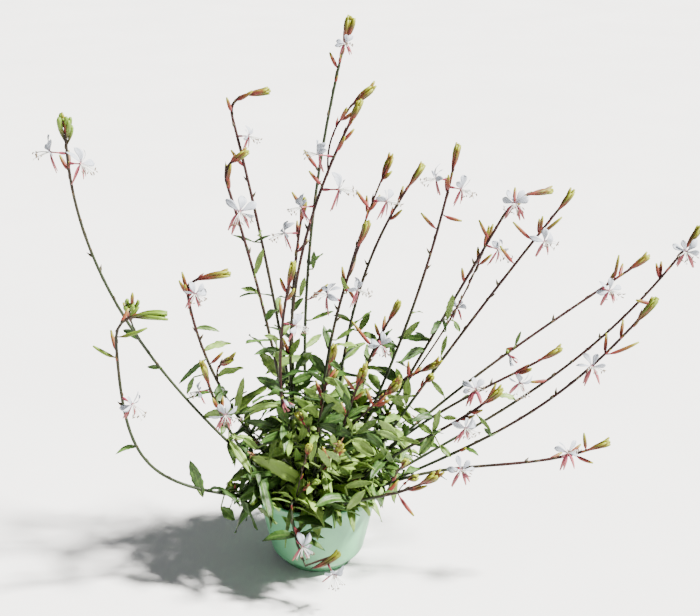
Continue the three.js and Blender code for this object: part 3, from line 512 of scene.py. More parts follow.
# The first leaves spread out over the rim, the rest climb the leafy zone, and the last stand above it.
def tryLeaf(stem, index, random, taken):
    shape = leafShape
    length = stemLength(stem)
    upright = (stem["tip"][2] - soilTop) / length
    zone = min(shape["zoneLow"] + shape["zoneTall"] * upright, shape["zoneMost"] * length)
    front = stem["foot"][1] < shape["frontEdge"]
    skirt = index < shape["frontSkirtLeaves" if front else "skirtLeaves"]
    upper = index >= stem["leaves"]
    outward = outwardOf(stem)
    for _ in range(shape["tries"]):
        climb = math.pow((index + random()) / stem["leaves"], shape["climb"])
        nearest = shape["skirtLowest" if skirt else "lowest"]
        above = shape["upperStretch"] * (length - zone) * random() if upper else 0
        distance = zone + above if upper else nearest + (zone - nearest) * climb
        spread = random()
        outwards = outward + shape["skirtSpread"] * (2 * spread - 1)
        bearing = outwards if skirt else fullTurn * index + 360 * spread
        along = heading(bearing, varied(random, shape["skirtPitch" if skirt else "pitch"]))
        size = shape["upperSize"] if upper else 1 - shape["sizeDrop"] * distance / zone
        reach = shape["longest"] * size * varied(random, shape["lengths"])
        roll = varied(random, shape["roll"])
        width = max(reach * shape["aspect"] * varied(random, shape["widths"]), shape["narrowest"])
        droop = varied(random, shape["skirtDroop" if skirt else "droop"])
        share = max(distance, 1) / length
        leaf = leafFrom(tubePoint(stem, share), share, along, roll, reach, width, droop, random)
        end = leafPoint(leaf, 1, 0)
        if not upper and math.sqrt(end[0] * end[0] + end[1] * end[1]) > shape["moundRadius"]:
            continue
        if all(not meetsPot(point, shape["clearance"])
               and not taken.near(point, stem["name"], shape["ownSpacing"], shape["spacing"])
               for point in leafSamples(leaf)):
            return leaf
    return None


bloomShape = {
    "ovaryLength": 6, "ovaryRadius": 1.3, "tubeLength": 8, "hubRadius": 2, "lift": 0.4,
    "petalLength": 15.5, "petalWidth": 9, "sepalLength": 20, "sepalWidth": 2.6, "stamenLength": 13,
    "petalTurns": (-76, -28, 28, 76), "sepalTurns": (-155, -111, 111, 155),
}


# The parts of a bloom share one frame: forward out of the tube, up and sideways across it.
def bloomFrame(bloom, fused=False):
    stem = next(entry for entry in stems if entry["name"] == bloom["stem"])
    run = stem if bloom["branch"] is None else runsOf(stem)[bloom["branch"] + 1]
    forward = heading(bloom["bearing"], bloom["pitch"])
    side = unit(cross(forward, (0, 0, 1)))
    lift = 0 if fused else stemRadius(run, bloom["at"]) + bloomShape["lift"]
    base = add(tubePoint(run, bloom["at"]), forward, lift)
    depth = (bloomShape["ovaryLength"] + bloomShape["tubeLength"]) * bloom["scale"]
    return {"forward": forward, "side": side, "up": cross(side, forward), "base": base,
            "throat": add(base, forward, depth), "scale": bloom["scale"], "run": run, "at": bloom["at"]}


def inFrame(place, forward, side, up):
    return tuple(forward * place["forward"][i] + side * place["side"][i] + up * place["up"][i]
                 for i in range(3))


def petalPoint(place, turn, share, across):
    angle = math.radians(turn)
    half = bloomShape["petalWidth"] * place["scale"] / 2
    width = half * (0.18 + 0.82 * math.pow(math.sin(math.pi * math.pow(share, 1.5) * 0.9), 0.8))
    aside = inFrame(place, 0, math.sin(angle), math.cos(angle))
    root = add(place["throat"], aside, bloomShape["hubRadius"] * 0.6 * place["scale"])
    out = inFrame(place, 0.12 - 0.1 * share, math.sin(angle), math.cos(angle))
    wide = inFrame(place, 0, math.cos(angle), -math.sin(angle))
    tip = add(root, out, bloomShape["petalLength"] * place["scale"] * share)
    return add(tip, wide, width * across)


def sepalPoint(place, turn, share):
    angle = math.radians(turn)
    aside = inFrame(place, -0.5, math.sin(angle), math.cos(angle))
    root = add(place["throat"], aside, bloomShape["hubRadius"] * 0.5 * place["scale"])
    out = inFrame(place, -0.2 - 0.4 * share, math.sin(angle), math.cos(angle))
    return add(root, out, bloomShape["sepalLength"] * place["scale"] * share)


def bloomSamples(place):
    shares = (0.25, 0.5, 0.75, 1)
    reach = gap(place["base"], place["throat"])
    for share in shares:
        yield add(place["base"], place["forward"], share * reach)
    for turn in bloomShape["petalTurns"]:
        for share in shares:
            for across in (-1, 0, 1):
                yield petalPoint(place, turn, share, across)
    for turn in bloomShape["sepalTurns"]:
        for share in shares:
            yield sepalPoint(place, turn, share)
        spread = math.sin(math.radians(turn)) * 0.8
        tip = add(place["throat"], inFrame(place, 0.75, spread, -0.5),
                  bloomShape["stamenLength"] * place["scale"])
        yield tip
        yield add(place["throat"], add(tip, place["throat"], -1), 0.5)


# The seeds of the draws: those that the part has too, and those of the finer pieces.
partSeeds = {"stem": 31, "bud": 5, "branchBud": 12, "capsule": 9, "leafStem": 1000, "leaf": 17}
seeds = {
    "crumbs": 77, "fingers": 400, "ears": 700, "nubs": 900, "leaves": 1300, "blooms": 2600, "fused": 2900,
    "wilted": 3100, "shootEars": 5100, "shootNubs": 5200, "seenLeaves": 61000, "arches": 62000,
    "tufts": 63000, "bloomStep": 7,
}


# The whole layout, in the order that the part claims its places.
def layOut():
    taken = Taken(leafShape["spacing"])
    for stem in stems:
        for run in runsOf(stem):
            for i in range(plantShape["stemSamples"] + 1):
                taken.add(tubePoint(run, i / plantShape["stemSamples"]), stem["name"], True)
    for index, stem in enumerate(stems):
        seed = partSeeds["stem"] * index
        stem["index"] = index
        added = [partSeeds["branchBud"] + i if i else partSeeds["bud"] for i in range(len(runsOf(stem)))]
        stem["budPlans"] = [(run, budPlan(run, seed + more)) for run, more in zip(runsOf(stem), added)]
        stem["capsulePlans"] = capsulePlan(stem, seed + partSeeds["capsule"])
        stem["wiltedPlans"] = wiltedPlan(stem)
        buds = [bud for _, plans in stem["budPlans"] for bud in plans]
        for bud in buds + stem["capsulePlans"] + stem["wiltedPlans"]:
            for share in (0.3, 0.65, 1):
                taken.add(add(bud["base"], bud["along"], bud["length"] * share), stem["name"])
    for index, bloom in enumerate(blooms):
        bloom["name"] = f"bloom_{index + 1:02d}"
        bloom["frame"] = bloomFrame(bloom)
        for point in bloomSamples(bloom["frame"]):
            taken.add(point, bloom["name"])
    for bloom in fusedBlooms:
        bloom["name"] = "bloom_on_" + bloom["stem"]
        bloom["frame"] = bloomFrame(bloom, True)
        for point in bloomSamples(bloom["frame"]):
            taken.add(point, bloom["stem"])
    for index, stem in enumerate(stems):
        stem["leafPlans"] = []
        for i in range(stem["leaves"] + leafShape["upperLeaves"]):
            seed = partSeeds["leafStem"] * (index + 1) + partSeeds["leaf"] * i
            leaf = tryLeaf(stem, i, draws(seed), taken)
            if leaf:
                for point in leafSamples(leaf):
                    taken.add(point, stem["name"])
                stem["leafPlans"].append(leaf)
    return taken


taken = layOut()
print("layout:", sum(len(stem["leafPlans"]) for stem in stems), "leaves as in the part")


# Mesh work. Each piece is one bmesh whose points carry along, across and tone for the materials.
def startPiece():
    bm = bmesh.new()
    for layer in ("along", "across", "tone"):
        bm.verts.layers.float.new(layer)
    return bm


def markPoint(bm, vert, along, across, tone):
    layers = bm.verts.layers.float
    vert[layers["along"]] = along
    vert[layers["across"]] = across
    vert[layers["tone"]] = tone


def wear(verts, material):
    for vert in verts:
        for face in vert.link_faces:
            face.material_index = material


# A thin closed blade: a flat grid with its underside, carried point by point to place(share, across, lift).
def addBlade(bm, place, rows, columns, tone=0.5, material=0):
    made = bmesh.ops.create_grid(bm, x_segments=rows, y_segments=columns, size=0.5)
    top = made["verts"]
    faces = list({face for vert in top for face in vert.link_faces})
    under = bmesh.ops.extrude_face_region(bm, geom=faces)["geom"]
    low = [item for item in under if isinstance(item, bmesh.types.BMVert)]
    bmesh.ops.translate(bm, vec=(0, 0, -1), verts=low)
    verts = top + low
    for vert in verts:
        share, across, lift = vert.co.x + 0.5, 2 * vert.co.y, 1 + vert.co.z
        markPoint(bm, vert, share, across, tone)
        vert.co = Vector(place(share, across, lift))
    wear(verts, material)


def ringMatrix(point, along, radius):
    turn = Vector(along).to_track_quat("Z", "Y").to_matrix().to_4x4()
    return Matrix.Translation(Vector(point)) @ turn @ Matrix.Diagonal((radius, radius, radius, 1))


# A round tube: a circle, extruded from point to point and capped at both ends.
def addTube(bm, points, radii, sides, tone=0.5, material=0, shares=None):
    headings = []
    for i in range(len(points)):
        before, after = points[max(i - 1, 0)], points[min(i + 1, len(points) - 1)]
        headings.append(unit(add(after, before, -1)))
    made = bmesh.ops.create_circle(bm, segments=sides, radius=1)
    ring = made["verts"]
    edges = list({edge for vert in ring for edge in vert.link_edges})
    first = list(edges)
    matrix = ringMatrix(points[0], headings[0], radii[0])
    bmesh.ops.transform(bm, matrix=matrix, verts=ring)
    verts = []
    for i in range(len(points)):
        if i > 0:
            geom = bmesh.ops.extrude_edge_only(bm, edges=edges)["geom"]
            ring = [item for item in geom if isinstance(item, bmesh.types.BMVert)]
            held = set(ring)
            edges = [item for item in geom if isinstance(item, bmesh.types.BMEdge)
                     and item.verts[0] in held and item.verts[1] in held]
            bend = Vector(headings[i - 1]).rotation_difference(Vector(headings[i])).to_matrix().to_4x4()
            size = radii[i] / radii[i - 1]
            move = (Matrix.Translation(Vector(points[i])) @ bend
                    @ Matrix.Diagonal((size, size, size, 1)) @ Matrix.Translation(-Vector(points[i - 1])))
            bmesh.ops.transform(bm, matrix=move, verts=ring)
        share = shares[i] if shares else i / (len(points) - 1)
        for vert in ring:
            markPoint(bm, vert, share, 0, tone)
        verts += ring
    bmesh.ops.contextual_create(bm, geom=first)
    bmesh.ops.contextual_create(bm, geom=edges)
    wear(verts, material)


# A spindle for buds, capsules and anthers: a short tube whose radius follows a profile.
def addSpindle(bm, base, along, length, radius, profile, sides, tone=0.5, material=0):
    last = len(profile) - 1
    points = [add(base, along, length * i / last) for i in range(last + 1)]
    addTube(bm, points, [radius * value for value in profile], sides, tone, material)


# The mesh of a bmesh as an object of the scene, scaled to metres.
def objectFrom(bm, name, materials=(), scale=mm):
    bmesh.ops.scale(bm, vec=(scale, scale, scale), verts=bm.verts)
    mesh = bpy.data.meshes.new(name)
    bm.to_mesh(mesh)
    bm.free()
    for material in materials:
        mesh.materials.append(material)
    made = bpy.data.objects.new(name, mesh)
    bpy.context.scene.collection.objects.link(made)
    return made


def smooth(piece):
    piece.data.polygons.foreach_set("use_smooth", [True] * len(piece.data.polygons))


def finishPiece(bm, name, materials, nodes=()):
    bmesh.ops.recalc_face_normals(bm, faces=bm.faces)
    piece = objectFrom(bm, name, materials)
    smooth(piece)
    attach(piece, "root")
    if nodes:
        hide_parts(*nodes)
    return piece


# Materials. Most helpers add one node and return its output.
class Finish:
    def __init__(self, name):
        self.material = bpy.data.materials.new(name)
        self.material.use_nodes = True
        self.tree = self.material.node_tree
        self.shader = self.tree.nodes["Principled BSDF"]

    # Gives an input a number, a colour or the output of another node.
    def feed(self, socket, value):
        if isinstance(value, (int, float)):
            socket.default_value = value
        elif isinstance(value, tuple):
            socket.default_value = (*value, 1)
        else:
            self.tree.links.new(value, socket)

    def node(self, kind, inputs=None, **values):
        made = self.tree.nodes.new(kind)
        for key, value in values.items():
            setattr(made, key, value)
        for key, value in (inputs or {}).items():
            self.feed(made.inputs[key], value)
        return made

    def attribute(self, name):
        return self.node("ShaderNodeAttribute", attribute_name=name).outputs["Fac"]

    def coordinates(self):
        return self.node("ShaderNodeTexCoord").outputs["Object"]

    def noise(self, scale, detail, roughness, stretch=None):
        place = self.coordinates()
        if stretch:
            mapping = self.node("ShaderNodeMapping", {"Vector": place})
            mapping.inputs["Scale"].default_value = stretch
            place = mapping.outputs["Vector"]
        return self.node("ShaderNodeTexNoise", {
            "Scale": scale, "Detail": detail, "Roughness": roughness, "Vector": place}).outputs["Fac"]

    def maths(self, operation, a, b=0.0, clamp=False):
        return self.node("ShaderNodeMath", {0: a, 1: b}, operation=operation, use_clamp=clamp).outputs[0]

    def plus(self, a, b):
        return self.maths("ADD", a, b)

    def times(self, a, b):
        return self.maths("MULTIPLY", a, b)

    # A value shifted up and down by a grain around its middle.
    def grained(self, value, grain, strength):
        return self.plus(value, self.times(self.maths("SUBTRACT", grain, 0.5), strength))

    def spread(self, value, low, high, toLow=0.0, toHigh=1.0):
        return self.node("ShaderNodeMapRange", {
            "Value": value, "From Min": low, "From Max": high, "To Min": toLow, "To Max": toHigh,
        }).outputs["Result"]

    def ramp(self, value, *stops):
        made = self.node("ShaderNodeValToRGB", {"Fac": value})
        bands = made.color_ramp.elements
        while len(bands) < len(stops):
            bands.new(0.5)
        for band, (place, colour) in zip(bands, stops):
            band.position = place
            band.color = (*colour, 1)
        return made.outputs["Color"]

    # The colour sockets of this node share their names with others, so they are told apart by number.
    def blend(self, share, a, b):
        return self.node("ShaderNodeMix", {0: share, 6: a, 7: b}, data_type="RGBA").outputs[2]

    def colour(self, value):
        self.feed(self.shader.inputs["Base Color"], value)

    def rough(self, value):
        self.feed(self.shader.inputs["Roughness"], value)

    def gloss(self, level):
        self.feed(self.shader.inputs["Specular IOR Level"], level)

    def bump(self, height, strength, distance):
        made = self.node("ShaderNodeBump", {"Strength": strength, "Distance": distance, "Height": height})
        self.feed(self.shader.inputs["Normal"], made.outputs["Normal"])

    # Light that passes through a thin blade, with its own tint.
    def glow(self, share, tint):
        through = self.node("ShaderNodeBsdfTranslucent", {"Color": tint})
        mixed = self.node("ShaderNodeMixShader", {0: share, 1: self.shader.outputs[0], 2: through.outputs[0]})
        self.feed(self.tree.nodes["Material Output"].inputs["Surface"], mixed.outputs[0])


leafLook = {
    "deep": (0.005, 0.02, 0.004), "middle": (0.042, 0.1, 0.015), "bright": (0.19, 0.3, 0.055),
    "rib": (0.2, 0.29, 0.075), "through": (0.13, 0.26, 0.004), "roughness": 0.44, "veins": 26, "slant": 4.5,
    "patches": (180, 4, 0.6), "mottle": (330, 4, 0.65), "toneShare": 0.72, "patchShare": 0.3,
    "mottleShare": 0.2, "veinShare": 0.3, "glow": 0.22,
}


# Leaf green that varies from leaf to leaf, with a pale midrib, slanting veins and blotches.
def leafFinish():
    look = leafLook
    finish = Finish("leaf green")
    along, across, tone = (finish.attribute(name) for name in ("along", "across", "tone"))
    patches = finish.noise(*look["patches"])
    mottle = finish.spread(finish.noise(*look["mottle"]), 0.4, 0.62)
    parts = zip((tone, patches, mottle), (look["toneShare"], look["patchShare"], look["mottleShare"]))
    shares = [finish.times(value, share) for value, share in parts]
    mood = finish.plus(shares[0], finish.plus(shares[1], shares[2]))
    green = finish.ramp(mood, (0.1, look["deep"]), (0.5, look["middle"]), (1.0, look["bright"]))
    outward = finish.maths("ABSOLUTE", across)
    slant = finish.maths("SUBTRACT", finish.times(along, look["veins"]), finish.times(outward, look["slant"]))
    ripple = finish.maths("SINE", finish.times(slant, math.tau / 2))
    veins = finish.times(finish.spread(ripple, 0.82, 1.0), look["veinShare"])
    lines = finish.maths("MAXIMUM", veins, finish.spread(outward, 0.11, 0.03))
    strength = finish.spread(mood, 0.1, 0.9, 0.2, 0.5)
    finish.colour(finish.blend(finish.times(lines, strength), green, look["rib"]))
    finish.rough(finish.spread(patches, 0.3, 0.7, look["roughness"] - 0.08, look["roughness"] + 0.12))
    finish.gloss(0.3)
    finish.bump(finish.maths("SUBTRACT", patches, lines), 0.5, 0.0004)
    finish.glow(look["glow"], finish.blend(0.5, green, look["through"]))
    return finish.material


stalkLook = {
    "olive": (0.012, 0.02, 0.006), "grey": (0.02, 0.028, 0.011), "maroon": (0.015, 0.004, 0.004),
    "brown": (0.03, 0.008, 0.006), "roughness": 0.6,
}


# A stalk turns from grey-green below to maroon above, with fine streaks.
def stalkFinish():
    look = stalkLook
    finish = Finish("stalk skin")
    along, tone = finish.attribute("along"), finish.attribute("tone")
    streaks = finish.noise(60, 3, 0.5)
    green = finish.ramp(streaks, (0.3, look["olive"]), (0.75, look["grey"]))
    red = finish.ramp(streaks, (0.3, look["maroon"]), (0.75, look["brown"]))
    reached = finish.plus(finish.plus(along, tone), finish.times(streaks, 0.25))
    finish.colour(finish.blend(finish.spread(reached, 0.95, 1.3), green, red))
    finish.rough(look["roughness"])
    finish.gloss(0.2)
    finish.bump(streaks, 0.2, 0.0003)
    return finish.material


budLook = {
    "root": (0.014, 0.003, 0.003), "salmon": (0.15, 0.026, 0.014), "rose": (0.16, 0.016, 0.026),
    "tip": (0.17, 0.2, 0.008), "olive": (0.05, 0.05, 0.005), "leafy": (0.1, 0.17, 0.014), "roughness": 0.5,
}


# A bud runs from a dark root through salmon to a yellow-green tip. Tone -1 is a green bud, 0 a young one
# and 1 one that is about to open.
def budFinish():
    look = budLook
    finish = Finish("bud skin")
    along, tone = finish.attribute("along"), finish.attribute("tone")
    grain = finish.noise(500, 2, 0.5)
    shifted = finish.grained(along, grain, 0.3)
    young = finish.ramp(shifted, (0.05, look["root"]), (0.38, look["salmon"]), (0.62, look["olive"]),
                        (0.9, look["tip"]))
    pink = finish.ramp(shifted, (0.02, look["root"]), (0.25, look["rose"]), (0.8, look["salmon"]),
                       (1.0, look["tip"]))
    skin = finish.blend(finish.maths("MAXIMUM", tone, 0.0), young, pink)
    green = finish.ramp(shifted, (0.05, look["root"]), (0.3, look["olive"]), (0.6, look["leafy"]))
    finish.colour(finish.blend(finish.maths("MULTIPLY", tone, -1.0, True), skin, green))
    finish.rough(look["roughness"])
    finish.gloss(0.25)
    finish.bump(grain, 0.25, 0.0003)
    finish.glow(0.1, look["salmon"])
    return finish.material


petalLook = {"white": (0.42, 0.45, 0.5), "veinShadeBlue": (0.1, 0.14, 0.22), "claw": (0.34, 0.12, 0.17), "veins": 18}


# White petals, faintly blue along fine lengthwise veins, where the blue is painted bluish shade as well as
# vein colour, and a pink claw.
def petalFinish():
    look = petalLook
    finish = Finish("petal white")
    along, across = finish.attribute("along"), finish.attribute("across")
    fan = finish.maths("SINE", finish.times(across, look["veins"]))
    soft = finish.noise(260, 3, 0.5)
    # The blue mixed in along the veins is painted bluish shade as well as vein colour.
    shade = finish.times(finish.spread(fan, 0.2, 1.0), finish.spread(soft, 0.3, 0.7, 0.15, 0.5))
    body = finish.blend(shade, look["white"], look["veinShadeBlue"])
    finish.colour(finish.blend(finish.spread(along, 0.3, 0.0, 0.0, 0.8), body, look["claw"]))
    finish.rough(0.55)
    finish.bump(fan, 0.2, 0.0002)
    finish.glow(0.35, look["white"])
    return finish.material


roseLook = {"rose": (0.2, 0.03, 0.055), "pale": (0.36, 0.12, 0.12), "green": (0.06, 0.022, 0.012)}


# Pink sepals and flower tubes, paler towards the end, greenish at the ovary.
def roseFinish():
    look = roseLook
    finish = Finish("rose sepal")
    along = finish.attribute("along")
    grain = finish.noise(380, 3, 0.5)
    shifted = finish.grained(along, grain, 0.4)
    finish.colour(finish.ramp(shifted, (0.0, look["green"]), (0.3, look["rose"]), (1.0, look["pale"])))
    finish.rough(0.5)
    finish.gloss(0.25)
    finish.bump(grain, 0.2, 0.0002)
    finish.glow(0.2, look["pale"])
    return finish.material


stamenLook = {"filament": (0.42, 0.43, 0.4), "anther": (0.03, 0.02, 0.012), "pollen": (0.14, 0.09, 0.045)}


# Pale filaments and darker anthers, told apart by tone.
def stamenFinish():
    look = stamenLook
    finish = Finish("stamen")
    grain = finish.noise(900, 2, 0.5)
    anther = finish.ramp(grain, (0.3, look["anther"]), (0.7, look["pollen"]))
    finish.colour(finish.blend(finish.attribute("tone"), look["filament"], anther))
    finish.rough(0.6)
    return finish.material


potLook = {
    "light": (0.12, 0.34, 0.17), "dark": (0.07, 0.23, 0.12), "dust": (0.2, 0.28, 0.2),
    "clouds": (16, 4, 0.6), "streaks": (160, 2, 0.5, (1, 1, 0.06)), "scuffs": (300, 5, 0.7), "scuffTop": 0.02,
    "subsurface": 0.12, "reach": (0.003, 0.004, 0.003),
}


# Moulded mint plastic: cloudy, faintly streaked upwards, scuffed near its foot.
def potFinish():
    look = potLook
    finish = Finish("mint plastic")
    cloud = finish.noise(*look["clouds"])
    streaks = finish.noise(*look["streaks"])
    body = finish.blend(finish.spread(cloud, 0.35, 0.68), look["dark"], look["light"])
    body = finish.blend(finish.spread(streaks, 0.5, 0.75, 0.0, 0.35), body, look["light"])
    height = finish.node("ShaderNodeSeparateXYZ", {0: finish.coordinates()}).outputs["Z"]
    low = finish.spread(height, look["scuffTop"], 0.0, 0.0, 0.6)
    scuffs = finish.spread(finish.noise(*look["scuffs"]), 0.5, 0.62)
    finish.colour(finish.blend(finish.times(low, scuffs), body, look["dust"]))
    finish.rough(finish.spread(cloud, 0.3, 0.7, 0.33, 0.5))
    finish.bump(streaks, 0.12, 0.0003)
    finish.shader.inputs["Subsurface Weight"].default_value = look["subsurface"]
    finish.shader.inputs["Subsurface Radius"].default_value = look["reach"]
    return finish.material


soilLook = {
    "dark": (0.007, 0.005, 0.004), "damp": (0.022, 0.015, 0.01), "bark": (0.07, 0.045, 0.027),
    "white": (0.4, 0.39, 0.36),
}


def soilFinish():
    look = soilLook
    finish = Finish("potting mix")
    fine = finish.noise(900, 5, 0.7)
    coarse = finish.noise(160, 4, 0.6)
    mood = finish.plus(finish.times(fine, 0.6), finish.times(coarse, 0.45))
    finish.colour(finish.ramp(mood, (0.35, look["dark"]), (0.55, look["damp"]), (0.72, look["bark"])))
    finish.rough(0.9)
    finish.bump(fine, 0.9, 0.001)
    return finish.material


def crumbFinish():
    look = soilLook
    finish = Finish("soil crumb")
    grain = finish.noise(1200, 3, 0.6)
    bark = finish.ramp(grain, (0.3, look["damp"]), (0.7, look["bark"]))
    finish.colour(finish.blend(finish.attribute("tone"), bark, look["white"]))
    finish.rough(0.85)
    finish.bump(grain, 0.6, 0.0005)
    return finish.material


leafGreen = leafFinish()
stalkSkin = stalkFinish()
budSkin = budFinish()
petalWhite = petalFinish()
roseSkin = roseFinish()
stamenSkin = stamenFinish()
print("materials made")


# Small steps of the pot's outline, outwards and upwards from the corner that each group belongs to.
potSteps = {
    "foot": [(-3.4, 1.0), (-2.8, 0.2), (-1.6, 0.0), (-0.5, 0.2), (0, 0.9)],
    "neck": [(0.3, -1.4), (0.8, -0.3)],
    "underLip": [(-0.4, 0), (0, 0.7)],
    "lipTop": [(0, -1.2), (-0.4, -0.3), (-1.1, 0)],
    "mouth": [(0.5, 0), (0, -0.6), (-0.4, -4)],
}
# Heights at which the wall's outline has a point, and how far below the lip and inside it the last ones are.
wallShape = {
    "low": 40, "high": 60, "belowLip": 1.2, "stepOut": 0.3, "stepDown": 0.2, "baseTop": 1.0,
    "outerSteps": 8, "neckSteps": 2, "innerSteps": 5, "soilSteps": 4,
}


def stepped(radius, height, name):
    return [(radius + out, height + up) for out, up in potSteps[name]]


# A round body: an outline of radii and heights, spun about the pot's axis.
def spinOutline(outline, steps):
    bm = startPiece()
    verts = [bm.verts.new((x, 0, z)) for x, z in outline]
    edges = [bm.edges.new(pair) for pair in zip(verts, verts[1:])]
    bmesh.ops.spin(bm, geom=verts + edges, cent=(0, 0, 0), axis=(0, 0, 1), angle=math.tau,
                   steps=steps, use_merge=True)
    bmesh.ops.remove_doubles(bm, verts=bm.verts, dist=0.001)
    return bm


# The pot: a profile spun round, with a rolled lip, a step below it, a foot ring and drainage holes.
def makePot():
    shape, wallAt = potShape, wallShape
    height, lip, wall, foot = shape["height"], shape["lipRadius"], shape["wall"], shape["footRadius"]
    bottom, floor, band = shape["footHeight"], shape["floor"], height - shape["lipDepth"]
    low, high, under = wallAt["low"], wallAt["high"], band - wallAt["belowLip"]
    outline = [(0, wallAt["baseTop"])] + stepped(foot, 0, "foot") + stepped(foot, bottom, "neck")
    steps = wallAt["outerSteps"]
    outline += [bendPoint(0, i / steps) for i in range(wallAt["neckSteps"], steps + 1)]
    outline += [(potRadiusAt(up), up) for up in (low, high, under)]
    outline += [(potRadiusAt(band) + wallAt["stepOut"], band - wallAt["stepDown"])]
    outline += stepped(lip, band, "underLip") + stepped(lip, height, "lipTop")
    outline += stepped(shape["rimRadius"] - wall, height, "mouth") + [(potRadiusAt(low) - wall, low)]
    steps = wallAt["innerSteps"]
    outline += [bendPoint(wall, i / steps) for i in range(steps, 0, -1)]
    outline += [(foot - wall, bottom + wall), (foot - wall, floor), (0, floor)]
    bm = spinOutline(outline, shape["steps"])
    pot = finishPiece(bm, "pot_shell", [potFinish()], ["pot"])
    cutHoles(pot)


def cutHoles(pot):
    shape = potShape
    bm = bmesh.new()
    for i in range(shape["drainCount"]):
        turn = math.tau * (i + 0.5) / shape["drainCount"]
        middle = (shape["drainPlace"] * math.cos(turn), shape["drainPlace"] * math.sin(turn), 0)
        bmesh.ops.create_cone(bm, cap_ends=True, segments=shape["drainSides"], radius1=shape["drainRadius"],
                              radius2=shape["drainRadius"], depth=4 * shape["floor"],
                              matrix=Matrix.Translation(middle))
    cutter = objectFrom(bm, "drain holes")
    cut = pot.modifiers.new("drain holes", "BOOLEAN")
    cut.operation = "DIFFERENCE"
    cut.object = cutter
    cut.solver = "EXACT"
    bpy.context.view_layer.update()
    shown = bpy.context.evaluated_depsgraph_get()
    done = bpy.data.meshes.new_from_object(pot.evaluated_get(shown))
    pot.modifiers.remove(cut)
    old = pot.data
    pot.data = done
    bpy.data.meshes.remove(old)
    bpy.data.objects.remove(cutter)
    smooth(pot)


makePot()
print("pot made")

groundShape = {
    "rings": 26, "steps": 96, "roughness": 1.1, "waveX": 0.19, "waveY": 0.23, "grain": 0.11,
    "grainHeight": 3.7, "edge": 1, "crumbs": 420, "crumbLow": 0.6, "crumbHigh": 1.9, "crumbEdge": 2.5,
    "white": 0.93, "sunk": 0.35, "longer": (1, 0.8), "flat": 0.7,
}


def soilInner(height):
    shape = potShape
    bendEnd, bendTop = bendPoint(shape["wall"], 1)
    share = (height - bendTop) / (shape["height"] - bendTop)
    return mix(bendEnd, shape["rimRadius"] - shape["wall"], share) - shape["clearance"]


def soilHeight(x, y):
    shape = groundShape
    wave = plantShape["soilRelief"] * math.sin(x * shape["waveX"] + 1) * math.cos(y * shape["waveY"])
    rough = noise.fractal(Vector((x * shape["grain"], y * shape["grain"], shape["grainHeight"])), 0.8, 2.1, 4)
    return soilTop + wave + shape["roughness"] * rough


# The root ball: a spun body whose top is lumpy, level with the part's own soil.
def makeSoil():
    shape = groundShape
    low = potShape["floor"] + potShape["clearance"]
    edge = soilInner(soilTop)
    room = potShape["wall"] + potShape["clearance"]
    narrow = potShape["footRadius"] - room
    outline = [(0, low), (narrow * 0.5, low), (narrow, low), (narrow, potShape["footHeight"] + room)]
    steps, side = wallShape["soilSteps"], wallShape["low"]
    outline += [bendPoint(room, i / steps) for i in range(1, steps + 1)]
    outline += [(soilInner(side), side), (edge, soilTop)]
    outline += [(edge * (1 - (i + 1) / shape["rings"]), soilTop) for i in range(shape["rings"])]
    bm = spinOutline(outline, shape["steps"])
    for vert in bm.verts:
        inside = math.hypot(vert.co.x, vert.co.y) < edge - shape["edge"]
        if inside and vert.co.z > soilTop - 0.5:
            vert.co.z = soilHeight(vert.co.x, vert.co.y)
    finishPiece(bm, "soil_bed", [soilFinish()], ["soil"])


# Crumbs of bark and a few white grains lie on the soil.
def makeCrumbs():
    shape = groundShape
    random = draws(seeds["crumbs"])
    bm = startPiece()
    for _ in range(shape["crumbs"]):
        radius = (soilInner(soilTop) - shape["crumbEdge"]) * math.sqrt(random())
        turn = math.tau * random()
        x, y = radius * math.cos(turn), radius * math.sin(turn)
        size = mix(shape["crumbLow"], shape["crumbHigh"], random() ** 2)
        white = 1 if random() > shape["white"] else 0
        matrix = (Matrix.Translation((x, y, soilHeight(x, y) + size * shape["sunk"]))
                  @ Matrix.Rotation(math.tau * random(), 4, "Z") @ Matrix.Rotation(random(), 4, "X")
                  @ Matrix.Diagonal((size * varied(random, shape["longer"]), size, size * shape["flat"], 1)))
        made = bmesh.ops.create_icosphere(bm, subdivisions=1, radius=1, matrix=matrix)
        for vert in made["verts"]:
            markPoint(bm, vert, 0, 0, white)
    finishPiece(bm, "soil_crumbs", [crumbFinish()])


makeSoil()
makeCrumbs()
print("soil made")


# Stalks follow the smooth line of each stem, so what grows on them is carried over by the same shift.
def smoothShift(run, share):
    return add(stemPoint(run, share), tubePoint(run, share), -1)


# The materials of a stalk, by their places in its list.
stalkPart, budPart, capsulePart = 0, 1, 2
stalkShape = {
    "step": 7, "fewest": 8, "sides": 8, "swell": 0.1, "swellEvery": 16, "stouter": 0.65,
    "branchStouter": 0.25, "tipFrom": 0.97, "tipThin": 0.7, "buried": 1.15, "greener": 0.25,
}


def addStalk(bm, run, redness):
    shape = stalkShape
    branch = "start" in run
    length = stemLength(run)
    count = max(shape["fewest"], math.ceil(length / shape["step"]))
    shares = [i / count for i in range(count + 1)]
    points = [stemPoint(run, share) for share in shares]
    radii = []
    for share in shares:
        beat = math.sin(math.tau * share * length / shape["swellEvery"])
        taper = 1 if share < shape["tipFrom"] else shape["tipThin"]
        stout = 1 + (shape["branchStouter"] if branch else shape["stouter"] * share)
        stout *= run.get("slim", 1)
        radii.append(stemRadius(run, share) * taper * stout * (1 + shape["swell"] * max(0, beat) ** 3))
    if branch:
        shares = [mix(run["from"], 1, share) for share in shares]
    else:
        points.insert(0, add(points[0], (0, 0, -1), plantShape["footRise"] + plantShape["plantDepth"]))
        radii.insert(0, radii[0] * shape["buried"])
        shares.insert(0, 0)
    addTube(bm, points, radii, shape["sides"], redness - shape["greener"], stalkPart, shares)


